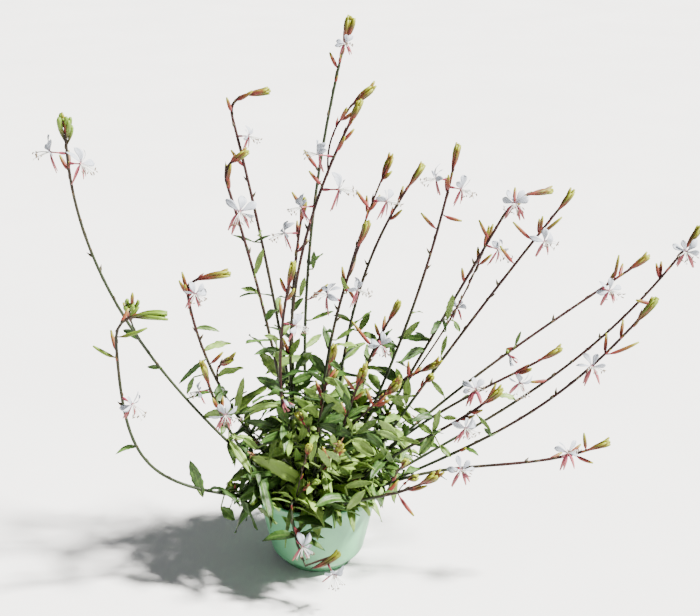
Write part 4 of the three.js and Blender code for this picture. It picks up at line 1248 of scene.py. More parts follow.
earShape = {
    "buds": 10, "branchBuds": 8, "first": 1.5, "every": 2.6, "spread": 2.5, "past": 8, "radius": 1.65,
    "most": 0.2, "shortest": 12, "gather": 1.1, "uneven": 8, "stray": 40, "opened": 0.3, "opening": 0.2,
    "spreads": (0.75, 0.45), "pasts": (0.8, 0.25), "lower": 0.07, "bulge": 1.15, "radii": (0.75, 0.3),
    "slimShort": 0.7, "slimWide": 0.6, "ripest": 0.3, "sides": 6,
    "profile": (0.35, 0.45, 0.7, 0.95, 1.0, 1.0, 0.7),
}
fingerShape = {
    "length": 20, "radius": 1.9, "profile": (0.36, 0.34, 0.5, 0.92, 1.0, 1.0, 0.85, 0.45), "sides": 7,
    "nearest": 30, "furthest": 62, "highest": 0.4, "count": 2, "lean": 0.7, "leans": (0.7, 0.6),
    "lengths": (0.8, 0.3), "sag": 0.12, "tipTone": (0.2, 0.6), "tone": (0.5, 0.5),
}
nubShape = {
    "from": (0.36, 0.03), "to": 0.97, "stray": 60, "pitch": 20, "lean": (0.15, 0.25), "green": 0.45,
    "lengths": (0.6, 0.7), "radii": (0.8, 0.4), "gaps": (0.7, 0.7), "redTone": (0.3, 0.6), "tone": (0, 0.25),
    "nub": {"every": 10, "length": 6.2, "radius": 1.35}, "bractZone": 60,
    "bract": {"every": 9, "length": 9, "radius": 1.4},
}


# Ears that differ from the others: how green they are, and how long and wide beside the rest.
greenEars = {"stem_far_left": -1, "stem_low_left": -1, "stem_right_low": -0.4, "green_shoot": -1}
shortEars = {"stem_drooping": 0.4, "stem_over_rim": 0.85, "green_shoot": 0.6, "shoot": 0.75}
wideEars = {"stem_far_left": 2.2, "stem_low_left": 1.6, "stem_tallest": 1.5, "stem_orange_buds": 1.5,
            "stem_over_rim": 1.5}


# A bud along a bent line, whose radius follows a profile.
def addPod(bm, corners, radius, shape, tone, material):
    last = len(shape["profile"]) - 1
    points = [curve(*corners, i / last) for i in range(last + 1)]
    addTube(bm, points, [radius * value for value in shape["profile"]], shape["sides"], tone, material)


# An ear of buds at a tip: each starts further down, hugs the stalk and ends near the others.
def addEar(bm, run, seed, count):
    shape = earShape
    random = draws(seed)
    length = stemLength(run)
    size = shortEars.get(run["name"], 1)
    wide = wideEars.get(run["name"], 1)
    slimShort, slimWide = mix(shape["slimShort"], 1, size), mix(shape["slimWide"], 1, wide)
    tip, heads = stemPoint(run, 1), stemHeading(run, 1)
    for i in range(count):
        most = max(shape["most"], shape["shortest"] / length) * size
        share = 1 - min(most, size * (shape["first"] + shape["every"] * i) / length)
        out = bladeFrame(heads, fullTurn * i + shape["stray"] * random())[0]
        opened = min(1, shape["opened"] + shape["opening"] * i)
        spread = shape["spread"] * wide * opened * varied(random, shape["spreads"])
        past = shape["past"] * size * (1 - shape["lower"] * i) * varied(random, shape["pasts"])
        past -= shape["uneven"] * (wide - 1) * random()
        end = add(add(tip, heads, past), out, spread)
        middle = add(stemPoint(run, (share + 1) / 2), out, spread * shape["bulge"])
        radius = shape["radius"] * varied(random, shape["radii"]) * slimShort * slimWide
        tone = greenEars.get(run["name"], shape["ripest"] * random())
        addPod(bm, (stemPoint(run, share), middle, end), radius, shape, tone, budPart)


# A long bud on its own short stalk, sagging a little before it lifts.
def addFinger(bm, base, end, tone, material=budPart):
    shape = fingerShape
    middle = add(curve(base, base, end, 0.5), (0, 0, -1), shape["sag"] * gap(base, end))
    addPod(bm, (base, middle, end), shape["radius"], shape, tone, material)


def addCapsule(bm, base, along, length, radius, tone, material):
    shape = capsuleShape
    addSpindle(bm, base, along, length, radius, shape["profile"], shape["sides"], tone, material)


# Nubs where older flowers stood, close along the upper stalk, and bracts below the tip.
def addNubs(bm, run, seed):
    shape = nubShape
    random = draws(seed)
    length = stemLength(run)
    share = varied(random, shape["from"])
    i = 0
    while share < shape["to"]:
        crowded = (1 - share) * length < shape["bractZone"]
        kind = shape["bract" if crowded else "nub"]
        out = heading(fullTurn * i + shape["stray"] * random(), shape["pitch"])
        along = unit(add(stemHeading(run, share), out, varied(random, shape["lean"])))
        red = crowded and random() > shape["green"]
        reach = kind["length"] * varied(random, shape["lengths"])
        radius = kind["radius"] * varied(random, shape["radii"])
        tone = varied(random, shape["redTone" if red else "tone"])
        addCapsule(bm, stemPoint(run, share), along, reach, radius, tone, budPart if red else capsulePart)
        share += kind["every"] * varied(random, shape["gaps"]) / length
        i += 1


def addBuds(bm, stem):
    shape = fingerShape
    step = partSeeds["stem"] * stem["index"]
    for number, (run, plans) in enumerate(stem["budPlans"]):
        random = draws(seeds["fingers"] + step + number)
        for bud in plans[1:]:
            base = add(bud["base"], smoothShift(run, bud["share"]))
            along = unit(add(bud["along"], stemHeading(run, 1), earShape["gather"]))
            addFinger(bm, base, add(base, along, bud["length"]), varied(random, shape["tipTone"]))
        addEar(bm, run, seeds["ears"] + step + number, earShape["branchBuds" if number else "buds"])
        addNubs(bm, run, seeds["nubs"] + step + number)
        for _ in range(shape["count"]):
            below = mix(shape["nearest"], shape["furthest"], random())
            share = 1 - min(shape["highest"], below / stemLength(run))
            out = heading(360 * random(), 0)
            along = unit(add(stemHeading(run, share), out, shape["lean"] * varied(random, shape["leans"])))
            base = stemPoint(run, share)
            reach = shape["length"] * varied(random, shape["lengths"])
            addFinger(bm, base, add(base, along, reach), varied(random, shape["tone"]))
    for plan in stem["capsulePlans"]:
        base = add(plan["base"], smoothShift(stem, plan["share"]))
        radius = plan["radius"] * capsuleShape["thinner"]
        addCapsule(bm, base, plan["along"], plan["length"], radius, capsuleShape["tone"], capsulePart)


capsuleLook = {
    "olive": (0.02, 0.02, 0.007), "maroon": (0.018, 0.004, 0.004), "tip": (0.07, 0.035, 0.014),
    "straw": (0.2, 0.11, 0.05),
}


def capsuleFinish():
    look = capsuleLook
    finish = Finish("capsule skin")
    along = finish.attribute("along")
    grain = finish.noise(420, 3, 0.6)
    mood = finish.plus(finish.times(along, 0.6), finish.times(grain, 0.6))
    fresh = finish.ramp(mood, (0.25, look["maroon"]), (0.55, look["olive"]), (0.95, look["tip"]))
    dry = finish.ramp(grain, (0.3, look["tip"]), (0.7, look["straw"]))
    finish.colour(finish.blend(finish.spread(finish.attribute("tone"), 0.8, 1.0), fresh, dry))
    finish.rough(0.5)
    finish.gloss(0.25)
    finish.bump(grain, 0.3, 0.0003)
    return finish.material


capsuleSkin = capsuleFinish()


def makeStem(stem):
    bm = startPiece()
    for i, run in enumerate(runsOf(stem)):
        if i > 0:
            run["from"] = stem["branches"][i - 1]["at"]
        addStalk(bm, run, stem["redness"])
    addBuds(bm, stem)
    finishPiece(bm, stem["name"] + "_stalk", [stalkSkin, budSkin, capsuleSkin], [stem["name"]])


# What its teeth leave of a blade's half width, at a share of the way along and a place across.
def toothed(share, teeth, phase, across, depth, rise):
    tooth = abs((share * teeth + 0.3 * phase + 0.4 * (across > 0)) % 1 - 0.5) * 2
    return 1 - depth * tooth * abs(across) * min(1, rise * share)


# A leaf with a few shallow teeth, waved edges and a slight twist.
def addLeaf(bm, leaf, tone, rows, columns):
    shape = leafShape
    half = leaf["width"] / 2
    twist = shape["twist"] * math.sin(7 * leaf["waves"])

    def place(share, across, lift):
        edge = toothed(share, shape["teeth"], leaf["waves"], across, shape["toothDepth"], 5)
        point = leafPoint(leaf, share, across * edge)
        wave = shape["wave"] * leaf["width"] * math.sin(leaf["waves"] * (1 + 5 * share) + (across > 0) * 1.1)
        ripple = wave * across * abs(across) * min(1, 4 * share)
        ripple += math.sin(math.radians(twist * share)) * across * half * leafOutline(share)
        keel = shape["keel"] * half * (1 - across * across)
        thick = shape["thickness"] * (1 - 0.5 * abs(across)) * (1 - 0.4 * share)
        return add(point, leaf["face"], ripple - keel - thick * (1 - lift))
    addBlade(bm, place, rows, columns, tone)


# Leaves that stand before seen leaves are made darker by this much, as painted shade.
hidingShadeShape = {"share": 0.2, "darker": 0.25}

# Boxes in the photograph are given by the pixels of opposite corners. These are the patches of the mound that
# are in the sun or in shade, whose leaves get painted light or painted shade, and the places where only bare
# stalks show.
litSpots = [((270, 435), (318, 512)), ((318, 448), (374, 486))]
shadedSpots = [((318, 405), (345, 432)), ((244, 488), (276, 520)), ((258, 526), (292, 542))]
bareSpots = [
    ((150, 395), (232, 560)), ((425, 340), (700, 480)), ((385, 476), (480, 560)), ((232, 512), (260, 560)),
]
paintedLightShape = {"lit": 0.65, "shaded": 0.3}


def isIn(point, spots):
    x, y = pixelOf(point)
    return any(low[0] < x < high[0] and low[1] < y < high[1] for low, high in spots)


# Painted light and shade: a leaf whose middle lies in a lit spot is painted lighter, one in a shaded spot
# darker.
def paintedLightTone(leaf, tone):
    middle = leafPoint(leaf, 0.5, 0)
    if isIn(middle, litSpots):
        return mix(tone, 1, paintedLightShape["lit"])
    return tone * paintedLightShape["shaded"] if isIn(middle, shadedSpots) else tone


# The stem's own leaves. Those that stand before a leaf seen in the photograph are painted darker, as painted
# shade.
def makeLeaves(stem):
    bm = startPiece()
    random = draws(seeds["leaves"] + stem["index"])
    for leaf in stem["leafPlans"]:
        moved = {**leaf, "base": add(leaf["base"], smoothShift(stem, leaf["share"]))}
        points = list(fineSamples(leaf))
        hiding = sum(hidesSeen(point) for point in points) / len(points) > hidingShadeShape["share"]
        tone = random() * (hidingShadeShape["darker"] if hiding else 1)
        addLeaf(bm, moved, paintedLightTone(leaf, tone), leafShape["rows"], leafShape["columns"])
    if bm.verts:
        finishPiece(bm, stem["name"] + "_leaves", [leafGreen])
    else:
        bm.free()


def leafAt(foot, tip, width, tone, lean=0, arch=0.12, turn=0):
    return {"foot": foot, "tip": tip, "width": width, "tone": tone, "lean": lean, "arch": arch, "turn": turn}


# Leaves that the photograph shows clearly: pixel of the foot, pixel of the tip, width, tone from dark to
# bright, which paints in each leaf's sun or shade as well as its own green, and how far the tip leans towards
# the front. Each grows from a stalk close to its foot.
seenLeaves = [
    leafAt((206, 359), (179, 384), 6, 0.1), leafAt((194, 377), (187, 394), 5, 0.5),
    leafAt((162, 368), (147, 367), 5, 0.3), leafAt((236, 413), (244, 377), 9, 0.95, 4),
    leafAt((255, 275), (263, 249), 7, 0.9), leafAt((263, 304), (255, 288), 2.5, 0.8),
    leafAt((279, 340), (264, 335), 6, 0.8, 4), leafAt((289, 357), (300, 338), 8, 0.8, 5),
    leafAt((311, 320), (334, 311), 4.5, 0.5), leafAt((336, 340), (355, 328), 5, 0.6),
    leafAt((359, 331), (370, 313), 8, 0.55, 4), leafAt((403, 339), (420, 321), 7.5, 0.75, 4),
    leafAt((347, 293), (341, 276), 5, 0.95), leafAt((357, 292), (357, 277), 5, 0.9),
    leafAt((447, 320), (453, 294), 8, 0.9, 4), leafAt((446, 331), (443, 318), 4, 0.1),
    leafAt((454, 321), (460, 332), 6, 0.5, 6), leafAt((425, 337), (415, 332), 4, 0.1),
    leafAt((313, 269), (314, 251), 6, 0.5), leafAt((300, 297), (305, 277), 6, 0.8),
    leafAt((441, 356), (447, 335), 5, 0.7), leafAt((515, 346), (521, 331), 4, 0.5),
    leafAt((492, 436), (484, 428), 5, 0.1), leafAt((443, 418), (457, 418), 6, 0.9, 6),
    leafAt((440, 446), (451, 457), 7, 0.6, 8), leafAt((478, 416), (491, 431), 4.5, 0.6, 4),
    leafAt((433, 434), (440, 409), 7, 0.9, 4), leafAt((203, 497), (190, 460), 12, 0.3, -4),
    leafAt((221, 507), (235, 520), 11, 0.35, 8), leafAt((254, 242), (232, 235), 3, 0.05),
    leafAt((254, 242), (271, 235), 3, 0.05), leafAt((229, 440), (252, 474), 9, 0.85, 12),
    leafAt((278, 474), (240, 477), 7, 0.1, 14), leafAt((284, 478), (236, 501), 16, 0.25, 16),
    leafAt((276, 500), (290, 528), 6, 1.05, 30), leafAt((258, 508), (277, 524), 8, 0.6, 24),
    leafAt((286, 485), (312, 508), 9, 1.1, 26), leafAt((318, 492), (343, 505), 14, 0.95, 26),
    leafAt((330, 487), (364, 494), 9, 0.9, 22), leafAt((345, 487), (372, 482), 8, 0.85, 16),
    leafAt((347, 510), (365, 490), 9, 0.8, 16), leafAt((318, 484), (333, 480), 7, 0.6, 14),
    leafAt((315, 503), (345, 508), 8, 0.15, 22), leafAt((352, 440), (375, 455), 14, 0.95, 14),
    leafAt((291, 438), (288, 457), 7, 0.75, 12), leafAt((382, 474), (391, 480), 6, 0.5, 8),
    leafAt((371, 480), (379, 483), 6, 0.6, 8), leafAt((364, 465), (375, 470), 6, 0.9, 8),
    leafAt((277, 428), (244, 421), 9, 0.1, 6), leafAt((287, 433), (259, 443), 9, 0.1, 8),
    leafAt((299, 442), (312, 416), 9, 0.9, 10), leafAt((278, 452), (292, 432), 7, 0.8, 10),
    leafAt((289, 423), (276, 406), 9, 0.35, 8), leafAt((345, 414), (321, 393), 11, 0.85, 8),
    leafAt((350, 412), (344, 392), 8, 0.15, 6), leafAt((397, 438), (379, 420), 10, 0.9, 12),
    leafAt((357, 434), (378, 420), 8, 0.6, 10), leafAt((434, 436), (419, 455), 11, 0.5, 8),
    leafAt((404, 406), (386, 394), 9, 0.8, 8), leafAt((406, 404), (408, 378), 9, 0.9, 8),
    leafAt((402, 384), (396, 368), 7, 0.8, 4), leafAt((444, 396), (431, 380), 6, 0.7, 4),
    leafAt((413, 409), (431, 413), 7, 0.6, 6), leafAt((318, 398), (303, 388), 9, 0.7, 8),
    leafAt((314, 374), (290, 383), 10, 0.25, 6), leafAt((300, 366), (312, 352), 9, 0.55, 5),
    leafAt((328, 360), (341, 369), 8, 0.3, 5), leafAt((325, 378), (338, 386), 8, 0.75, 8),
    leafAt((334, 446), (332, 434), 6, 0.9, 8), leafAt((352, 430), (347, 417), 5, 0.9, 8),
    leafAt((352, 436), (318, 424), 13, 0.08, 2), leafAt((398, 440), (375, 430), 8, 0.7, 10),
    leafAt((398, 438), (420, 443), 6, 0.8, 8), leafAt((384, 450), (366, 432), 10, 0.2, 6),
    leafAt((418, 424), (433, 434), 8, 0.75, 8), leafAt((243, 438), (259, 450), 8, 0.6, 10),
    leafAt((290, 470), (268, 462), 9, 0.4, 8), leafAt((340, 462), (326, 450), 8, 0.7, 12),
    leafAt((330, 468), (318, 448), 8, 0.8, 14), leafAt((300, 470), (296, 448), 8, 0.5, 10),
    leafAt((392, 462), (380, 446), 8, 0.5, 8), leafAt((350, 476), (336, 466), 8, 0.6, 12),
    leafAt((372, 462), (388, 452), 8, 0.8, 10), leafAt((310, 462), (316, 440), 7, 0.85, 12),
    leafAt((280, 405), (246, 411), 7, 0.75, 12, 0.3), leafAt((285, 391), (256, 377), 11, 0.05, 6),
    leafAt((308, 487), (250, 456), 17, 1.2, 20, 0.2, -15),
]


# A leaf whose foot and tip are given. It droops by its arch, and its face is turned from the viewer's line.
def leafBetween(foot, tip, width, arch, turn):
    reach = gap(foot, tip)
    aimed = add(add(tip, foot, -1), (0, 0, 1), arch * reach)
    along = unit(aimed)
    length = gap(aimed, (0, 0, 0))
    flat = unit(cross(along, add((0, 0, 0), lookAlong, -1)))
    side = turned(flat, cross(flat, along), turn)
    return {"base": foot, "share": 0, "along": along, "side": side, "face": cross(side, along),
            "length": length, "width": width, "droop": arch * reach / length, "waves": 1 + (width * 7 % 2)}


# The cells of the picture that the seen leaves and stalks cover, with how far back they are.
seenCells = {}
cellSize = 3


fineShape = {"rows": 20, "first": 3, "across": (-0.9, -0.3, 0.3, 0.9)}


def fineSamples(leaf):
    for row in range(fineShape["first"], fineShape["rows"] + 1):
        for across in fineShape["across"]:
            yield leafPoint(leaf, row / fineShape["rows"], across)


def cellOf(point):
    x, y = pixelOf(point)
    return math.floor(x / cellSize), math.floor(y / cellSize)


def hidesSeen(point):
    return cellOf(point) in seenCells and point[1] < seenCells[cellOf(point)]


def claimCell(point):
    key = cellOf(point)
    seenCells[key] = max(point[1], seenCells.get(key, point[1]))


def claimSeen(leaf, owner):
    for point in list(leafSamples(leaf))[2:]:
        taken.add(point, owner)
    for point in fineSamples(leaf):
        claimCell(point)


# Stalks that the photograph shows among the leaves, with the shares between which they are in sight.
seenStalks = {
    "stem_over_rim": (0.05, 1), "stem_right_front": (0.2, 1), "stem_right_level": (0.2, 0.8),
    "stem_right_inner": (0.2, 0.8), "stem_far_right": (0.12, 0.4), "stem_far_right_upper": (0.12, 0.4),
    "stem_red_tip": (0.25, 0.9), "stem_orange_buds": (0.3, 1), "stem_middle": (0.25, 0.7),
    "stem_hook_front": (0.2, 0.6), "stem_left": (0.25, 0.8), "stem_short_front": (0.3, 1),
    "stem_right_tall": (0.2, 0.5), "stem_right_long": (0.15, 0.5), "stem_drooping": (0.2, 1),
}
stalkSamples = 90


def claimStalks():
    for stem in stems:
        if stem["name"] in seenStalks:
            for i in range(stalkSamples + 1):
                claimCell(stemPoint(stem, mix(*seenStalks[stem["name"]], i / stalkSamples)))


# The foremost place of the part's own leaves in each cell of the picture.
def frontOfLeaves():
    front = {}
    for stem in stems:
        for leaf in stem["leafPlans"]:
            for point in fineSamples(leaf):
                key = cellOf(point)
                front[key] = min(point[1], front.get(key, point[1]))
    return front


leanShape = {
    "step": 5, "most": 9, "hidden": 0.2, "better": 0.02, "longest": 68, "ahead": 1, "turn": 24,
    "petiole": 0.8, "petioleEnd": 0.06, "petioleSides": 6,
}


# A seen leaf leans further towards the front until the part's own leaves leave it in sight.
def leaningLeaf(plan, front, turn):
    shape = leanShape
    run, share = stalkNear(plan["foot"])
    carrier = stemPoint(run, share)
    foot = seenAt(plan["foot"], carrier[1] - shape["ahead"])
    best = None
    for i in range(shape["most"]):
        tip = seenAt(plan["tip"], foot[1] - plan["lean"] - shape["step"] * i)
        if best and gap(foot, tip) > shape["longest"]:
            break
        leaf = leafBetween(foot, tip, plan["width"], plan["arch"], turn)
        points = list(fineSamples(leaf))
        hidden = sum(front.get(cellOf(point), point[1]) < point[1] for point in points) / len(points)
        if best is None or hidden < best[0] - shape["better"]:
            best = (hidden, leaf)
        if hidden < shape["hidden"]:
            break
    return {**best[1], "carrier": carrier}


def placeSeenLeaves():
    random = draws(seeds["seenLeaves"])
    front = frontOfLeaves()
    for plan in seenLeaves:
        plan["leaf"] = leaningLeaf(plan, front, plan["turn"] + wobble(random, leanShape["turn"]))
        claimSeen(plan["leaf"], "seen")
    claimStalks()


# Each seen leaf, and the petiole that joins it to its stalk.
def makeSeenLeaves():
    shape = leanShape
    bm = startPiece()
    for plan in seenLeaves:
        leaf, tone = plan["leaf"], plan["tone"]
        points = [leaf["carrier"], leaf["base"], leafPoint(leaf, shape["petioleEnd"], 0)]
        addTube(bm, points, [shape["petiole"]] * 3, shape["petioleSides"], tone)
        addLeaf(bm, leaf, tone, leafShape["rows"], leafShape["columns"])
    finishPiece(bm, "seen_leaves", [leafGreen])


placeSeenLeaves()
for stem in stems:
    makeStem(stem)
    makeLeaves(stem)
print("stems made")


def archAt(tip, out, width, tone):
    return {"tip": tip, "out": out, "width": width, "tone": tone}


# Leaves that arch from the soil over the pot's rim: pixel of the tip, how far in front of the pot's middle it
# hangs, width and tone, which paints in each leaf's sun or shade as well as its own green.
seenArches = [
    archAt((317, 540), 80, 17, 0.9), archAt((300, 531), 76, 10, 0.75), archAt((285, 548), 78, 6, 0.5),
    archAt((341, 526), 80, 9, 0.85), archAt((382, 522), 58, 10, 0.9), archAt((354, 532), 76, 9, 0.75),
    archAt((235, 533), 56, 13, 0.05), archAt((370, 516), 66, 8, 0.9),
]
archShape = {
    "lift": 30, "crest": 0.8, "lowCrest": 88, "highCrest": 104, "petiole": 0.25, "petioleWidth": 1.3,
    "rows": 14, "columns": 4, "nearRoot": 30, "farRoot": 52, "rootDepth": 2, "thin": 7, "broad": 13,
    "swing": 40, "teeth": 4, "shallower": 0.8, "wave": 0.16, "step": 0.02,
    "back": {"count": 16, "from": 20, "to": 205, "nearest": 76, "furthest": 96, "lowest": 50, "highest": 86,
             "shadedFrom": 165, "shaded": 0.25},
}


# The middle line of an arching leaf, with the soil end first.
def archPoint(root, crest, tip, share):
    lifted = add(root, (0, 0, 1), archShape["lift"])
    rest = 1 - share
    weights = (rest ** 3, 3 * rest * rest * share, 3 * rest * share * share, share ** 3)
    corners = (root, lifted, crest, tip)
    return tuple(sum(weight * corner[i] for weight, corner in zip(weights, corners)) for i in range(3))


def addArch(bm, tip, width, tone, random):
    shape = archShape
    phase = math.tau * random()
    bearing = math.degrees(math.atan2(tip[1], tip[0]))
    start = heading(bearing + wobble(random, shape["swing"]), 0)
    radius = mix(shape["nearRoot"], shape["farRoot"], random())
    root = add((0, 0, soilTop - shape["rootDepth"]), start, radius)
    reach = mix(radius, math.hypot(tip[0], tip[1]), shape["crest"])
    crest = add((0, 0, mix(shape["lowCrest"], shape["highCrest"], random())), heading(bearing, 0), reach)
    aside = unit(cross((0, 0, 1), (tip[0] - root[0], tip[1] - root[1], 0)))
    depth = leafShape["toothDepth"] * shape["shallower"]

    def place(share, across, lift):
        middle = archPoint(root, crest, tip, share)
        ahead = archPoint(root, crest, tip, min(1, share + shape["step"]))
        behind = archPoint(root, crest, tip, max(0, share - shape["step"]))
        face = cross(unit(add(ahead, behind, -1)), aside)
        blade = max(0, (share - shape["petiole"]) / (1 - shape["petiole"]))
        edge = toothed(blade, shape["teeth"], phase, across, depth, 6)
        half = max(shape["petioleWidth"] / 2, width / 2 * leafOutline(blade) * edge)
        wave = shape["wave"] * width * math.sin(phase + 7 * share) * across * abs(across) * min(1, 3 * blade)
        fold = leafShape["fold"] * half * abs(across) + wave
        thick = leafShape["thickness"] * (1 - 0.5 * abs(across))
        return add(add(middle, aside, half * across), face, -fold - thick * (1 - lift))
    addBlade(bm, place, shape["rows"], shape["columns"], tone)


def makeArches():
    shape = archShape
    bm = startPiece()
    random = draws(seeds["arches"])
    for plan in seenArches:
        addArch(bm, seenAt(plan["tip"], -plan["out"]), plan["width"], plan["tone"], random)
    side = shape["back"]
    for i in range(side["count"]):
        bearing = mix(side["from"], side["to"], (i + random()) / side["count"])
        low = mix(side["lowest"], side["highest"], random())
        tip = add((0, 0, low), heading(bearing, 0), mix(side["nearest"], side["furthest"], random()))
        width = mix(shape["thin"], shape["broad"], random())
        # Arches towards the left front, past shadedFrom, get painted shade: their tone is darkened.
        tone = random() * (side["shaded"] if bearing > side["shadedFrom"] else 1)
        addArch(bm, tip, width, tone, random)
    finishPiece(bm, "arching_leaves", [leafGreen])


# Leaves by a rule. Those of the mound stand round the stems' feet. Those of its depth fill the dense part, an
# oval in the photograph whose middle and half widths are pixels, so that it is as dense as it looks there.
moundShape = {
    "owner": "mound", "seed": 52000, "seedStep": 13, "leaves": 620, "tries": 18, "spacing": 2.0,
    "ownSpacing": 1.8, "radius": 100, "lightest": 1, "low": 4, "high": 104, "highest": 0.7, "climb": 1.5,
    "skirt": 0.3, "skirtTurn": 220, "pitch": (-5, 60), "roll": (-60, 120), "shortest": 22, "longest": 50,
    "sizeDrop": 0.45, "narrowest": 5, "thin": 0.24, "broad": 0.36, "droop": (0.1, 0.6),
}
# The depth's leaves never reach the mound's lightest tone: a little painted shade inside the mound.
depthShape = {
    "owner": "depth", "seed": 70000, "seedStep": 11, "leaves": 330, "tries": 10, "spacing": 1.4,
    "ownSpacing": 1.4, "radius": 97, "lightest": 0.8, "low": 6, "high": 112, "highest": 0.7,
    "pitch": (-15, 60), "roll": (-50, 100), "shortest": 22, "longest": 40, "thin": 7, "broad": 11,
    "droop": (0, 0.5), "middle": (347, 486), "across": 106, "up": 88,
}
fillShape = {"rows": 6, "columns": 2, "potRoom": 1.2, "rootSamples": 3}


def moundLeaf(stem, random):
    shape = moundShape
    length = stemLength(stem)
    climb = random() ** shape["climb"]
    share = min(mix(shape["low"], shape["high"], climb), shape["highest"] * length) / length
    skirt = climb < shape["skirt"]
    bearing = outwardOf(stem) + wobble(random, shape["skirtTurn"]) if skirt else 360 * random()
    along = heading(bearing, varied(random, shape["pitch"]))
    reach = mix(shape["shortest"], shape["longest"], random()) * (1 - shape["sizeDrop"] * climb)
    roll = varied(random, shape["roll"])
    width = max(shape["narrowest"], reach * mix(shape["thin"], shape["broad"], random()))
    droop = varied(random, shape["droop"])
    return leafFrom(stemPoint(stem, share), share, along, roll, reach, width, droop, random)


def depthLeaf(stem, random):
    shape = depthShape
    share = min(mix(shape["low"], shape["high"], random()) / stemLength(stem), shape["highest"])
    along = heading(360 * random(), varied(random, shape["pitch"]))
    roll = varied(random, shape["roll"])
    reach = mix(shape["shortest"], shape["longest"], random())
    width = mix(shape["thin"], shape["broad"], random())
    droop = varied(random, shape["droop"])
    return leafFrom(stemPoint(stem, share), share, along, roll, reach, width, droop, random)


# Whether a leaf ends where the photograph has leaves, and leaves what is seen there in sight.
def fitsPicture(leaf, shape):
    end = leafPoint(leaf, 1, 0)
    if isIn(end, bareSpots) or math.hypot(end[0], end[1]) > shape["radius"]:
        return False
    if "middle" in shape:
        right, down = (pixel - middle for pixel, middle in zip(pixelOf(end), shape["middle"]))
        if (right / shape["across"]) ** 2 + (down / shape["up"]) ** 2 >= 1:
            return False
    return not any(hidesSeen(point) for point in fineSamples(leaf))


def makeFill(shape, leafFor):
    bm = startPiece()
    made = 0
    for i in range(shape["leaves"]):
        random = draws(shape["seed"] + shape["seedStep"] * i)
        stem = stems[i % len(stems)]
        owner = shape["owner"] + stem["name"]
        for _ in range(shape["tries"]):
            leaf = leafFor(stem, random)
            if not fitsPicture(leaf, shape):
                continue
            samples = list(leafSamples(leaf))
            if all(not meetsPot(point, fillShape["potRoom"])
                   and not taken.near(point, owner, shape["ownSpacing"], shape["spacing"])
                   for point in samples[fillShape["rootSamples"]:]):
                for point in samples:
                    taken.add(point, owner)
                tone = paintedLightTone(leaf, shape["lightest"] * random())
                addLeaf(bm, leaf, tone, fillShape["rows"], fillShape["columns"])
                made += 1
                break
    finishPiece(bm, shape["owner"] + "_leaves", [leafGreen])
    print(shape["owner"], "leaves:", made)


makeSeenLeaves()
makeArches()
makeFill(moundShape, moundLeaf)
makeFill(depthShape, depthLeaf)


def budAt(foot, tip, tone, lean=0):
    return {"foot": foot, "tip": tip, "tone": tone, "lean": lean}


# Long buds that stand out in the photograph: pixel of the foot, pixel of the tip, tone from green to pink,
# and how far the tip leans towards the front.
seenBuds = [
    budAt((387, 496), (414, 516), 1, 8), budAt((600, 354), (639, 342), 0.6),
    budAt((612, 277), (619, 255), 0.4), budAt((370, 347), (352, 321), 0.8),
    budAt((549, 374), (530, 382), 0.8, 4), budAt((576, 451), (584, 433), 0.3),
    budAt((564, 455), (593, 463), 1), budAt((312, 169), (304, 150), 0.8),
    budAt((371, 205), (356, 190), 0.9), budAt((441, 212), (462, 221), 0.8, 4),
    budAt((489, 235), (479, 220), 0.6), budAt((532, 236), (513, 222), 0.8),
    budAt((541, 230), (562, 217), 0.3), budAt((392, 185), (392, 171), 0.2),
    budAt((185, 294), (182, 272), 0.7), budAt((113, 358), (93, 346), -0.9, 4),
    budAt((118, 340), (147, 328), -0.9, 4), budAt((127, 321), (139, 307), -0.9),
    budAt((289, 423), (283, 405), 0.5, 4), budAt((328, 383), (338, 371), 0.5),
    budAt((353, 393), (344, 376), 0.6, 4), budAt((369, 407), (366, 388), 0.6, 4),
    budAt((377, 416), (391, 412), 1, 4), budAt((186, 302), (194, 283), 0.8),
    budAt((212, 365), (223, 352), 0.7), budAt((236, 190), (228, 172), 0.8),
    budAt((241, 165), (231, 150), 0.9), budAt((300, 208), (292, 192), 0.7),
    budAt((322, 182), (309, 171), 0.9), budAt((510, 262), (500, 246), 0.8),
    budAt((468, 284), (462, 268), 0.6), budAt((430, 228), (421, 213), 0.6),
    budAt((448, 452), (466, 448), 0.9, 6), budAt((482, 398), (496, 384), 0.8, 4),
    budAt((520, 355), (506, 349), 0.9), budAt((624, 326), (640, 318), 0.4),
    budAt((654, 302), (636, 300), 0.7), budAt((318, 300), (328, 284), 0.8),
    budAt((284, 296), (280, 278), 0.8), budAt((292, 352), (283, 338), 0.8, 4),
    budAt((352, 300), (346, 284), 0.6),
]


def makeSeenBuds():
    bm = startPiece()
    for plan in seenBuds:
        foot = stemPoint(*stalkNear(plan["foot"]))
        addFinger(bm, foot, seenAt(plan["tip"], foot[1] - plan["lean"]), plan["tone"], 0)
    finishPiece(bm, "long_buds", [budSkin])


# Withered tufts of brown capsules: pixels of their middles.
seenTufts = [(258, 450), (349, 473), (342, 431), (413, 415), (262, 446)]
tuftShape = {
    "count": 9, "length": 6.5, "radius": 0.8, "reach": 7, "stalk": [0.6, 0.5], "pitch": (-50, 120),
    "lengths": (0.6, 0.6),
}


def makeTufts():
    shape = tuftShape
    bm = startPiece()
    random = draws(seeds["tufts"])
    for pixel in seenTufts:
        foot = stemPoint(*stalkNear(pixel))
        middle = add(foot, unit(add(seenAt(pixel, foot[1] - shape["reach"]), foot, -1)), shape["reach"])
        addTube(bm, [foot, middle], shape["stalk"], 6, 1)
        for i in range(shape["count"]):
            along = heading(fullTurn * i, varied(random, shape["pitch"]))
            reach = shape["length"] * varied(random, shape["lengths"])
            addCapsule(bm, middle, along, reach, shape["radius"], 1, 0)
    finishPiece(bm, "dry_tufts", [capsuleSkin])


def shootAt(foot, tip, buds, green, lean):
    return {"foot": foot, "tip": tip, "buds": buds, "green": green, "lean": lean}


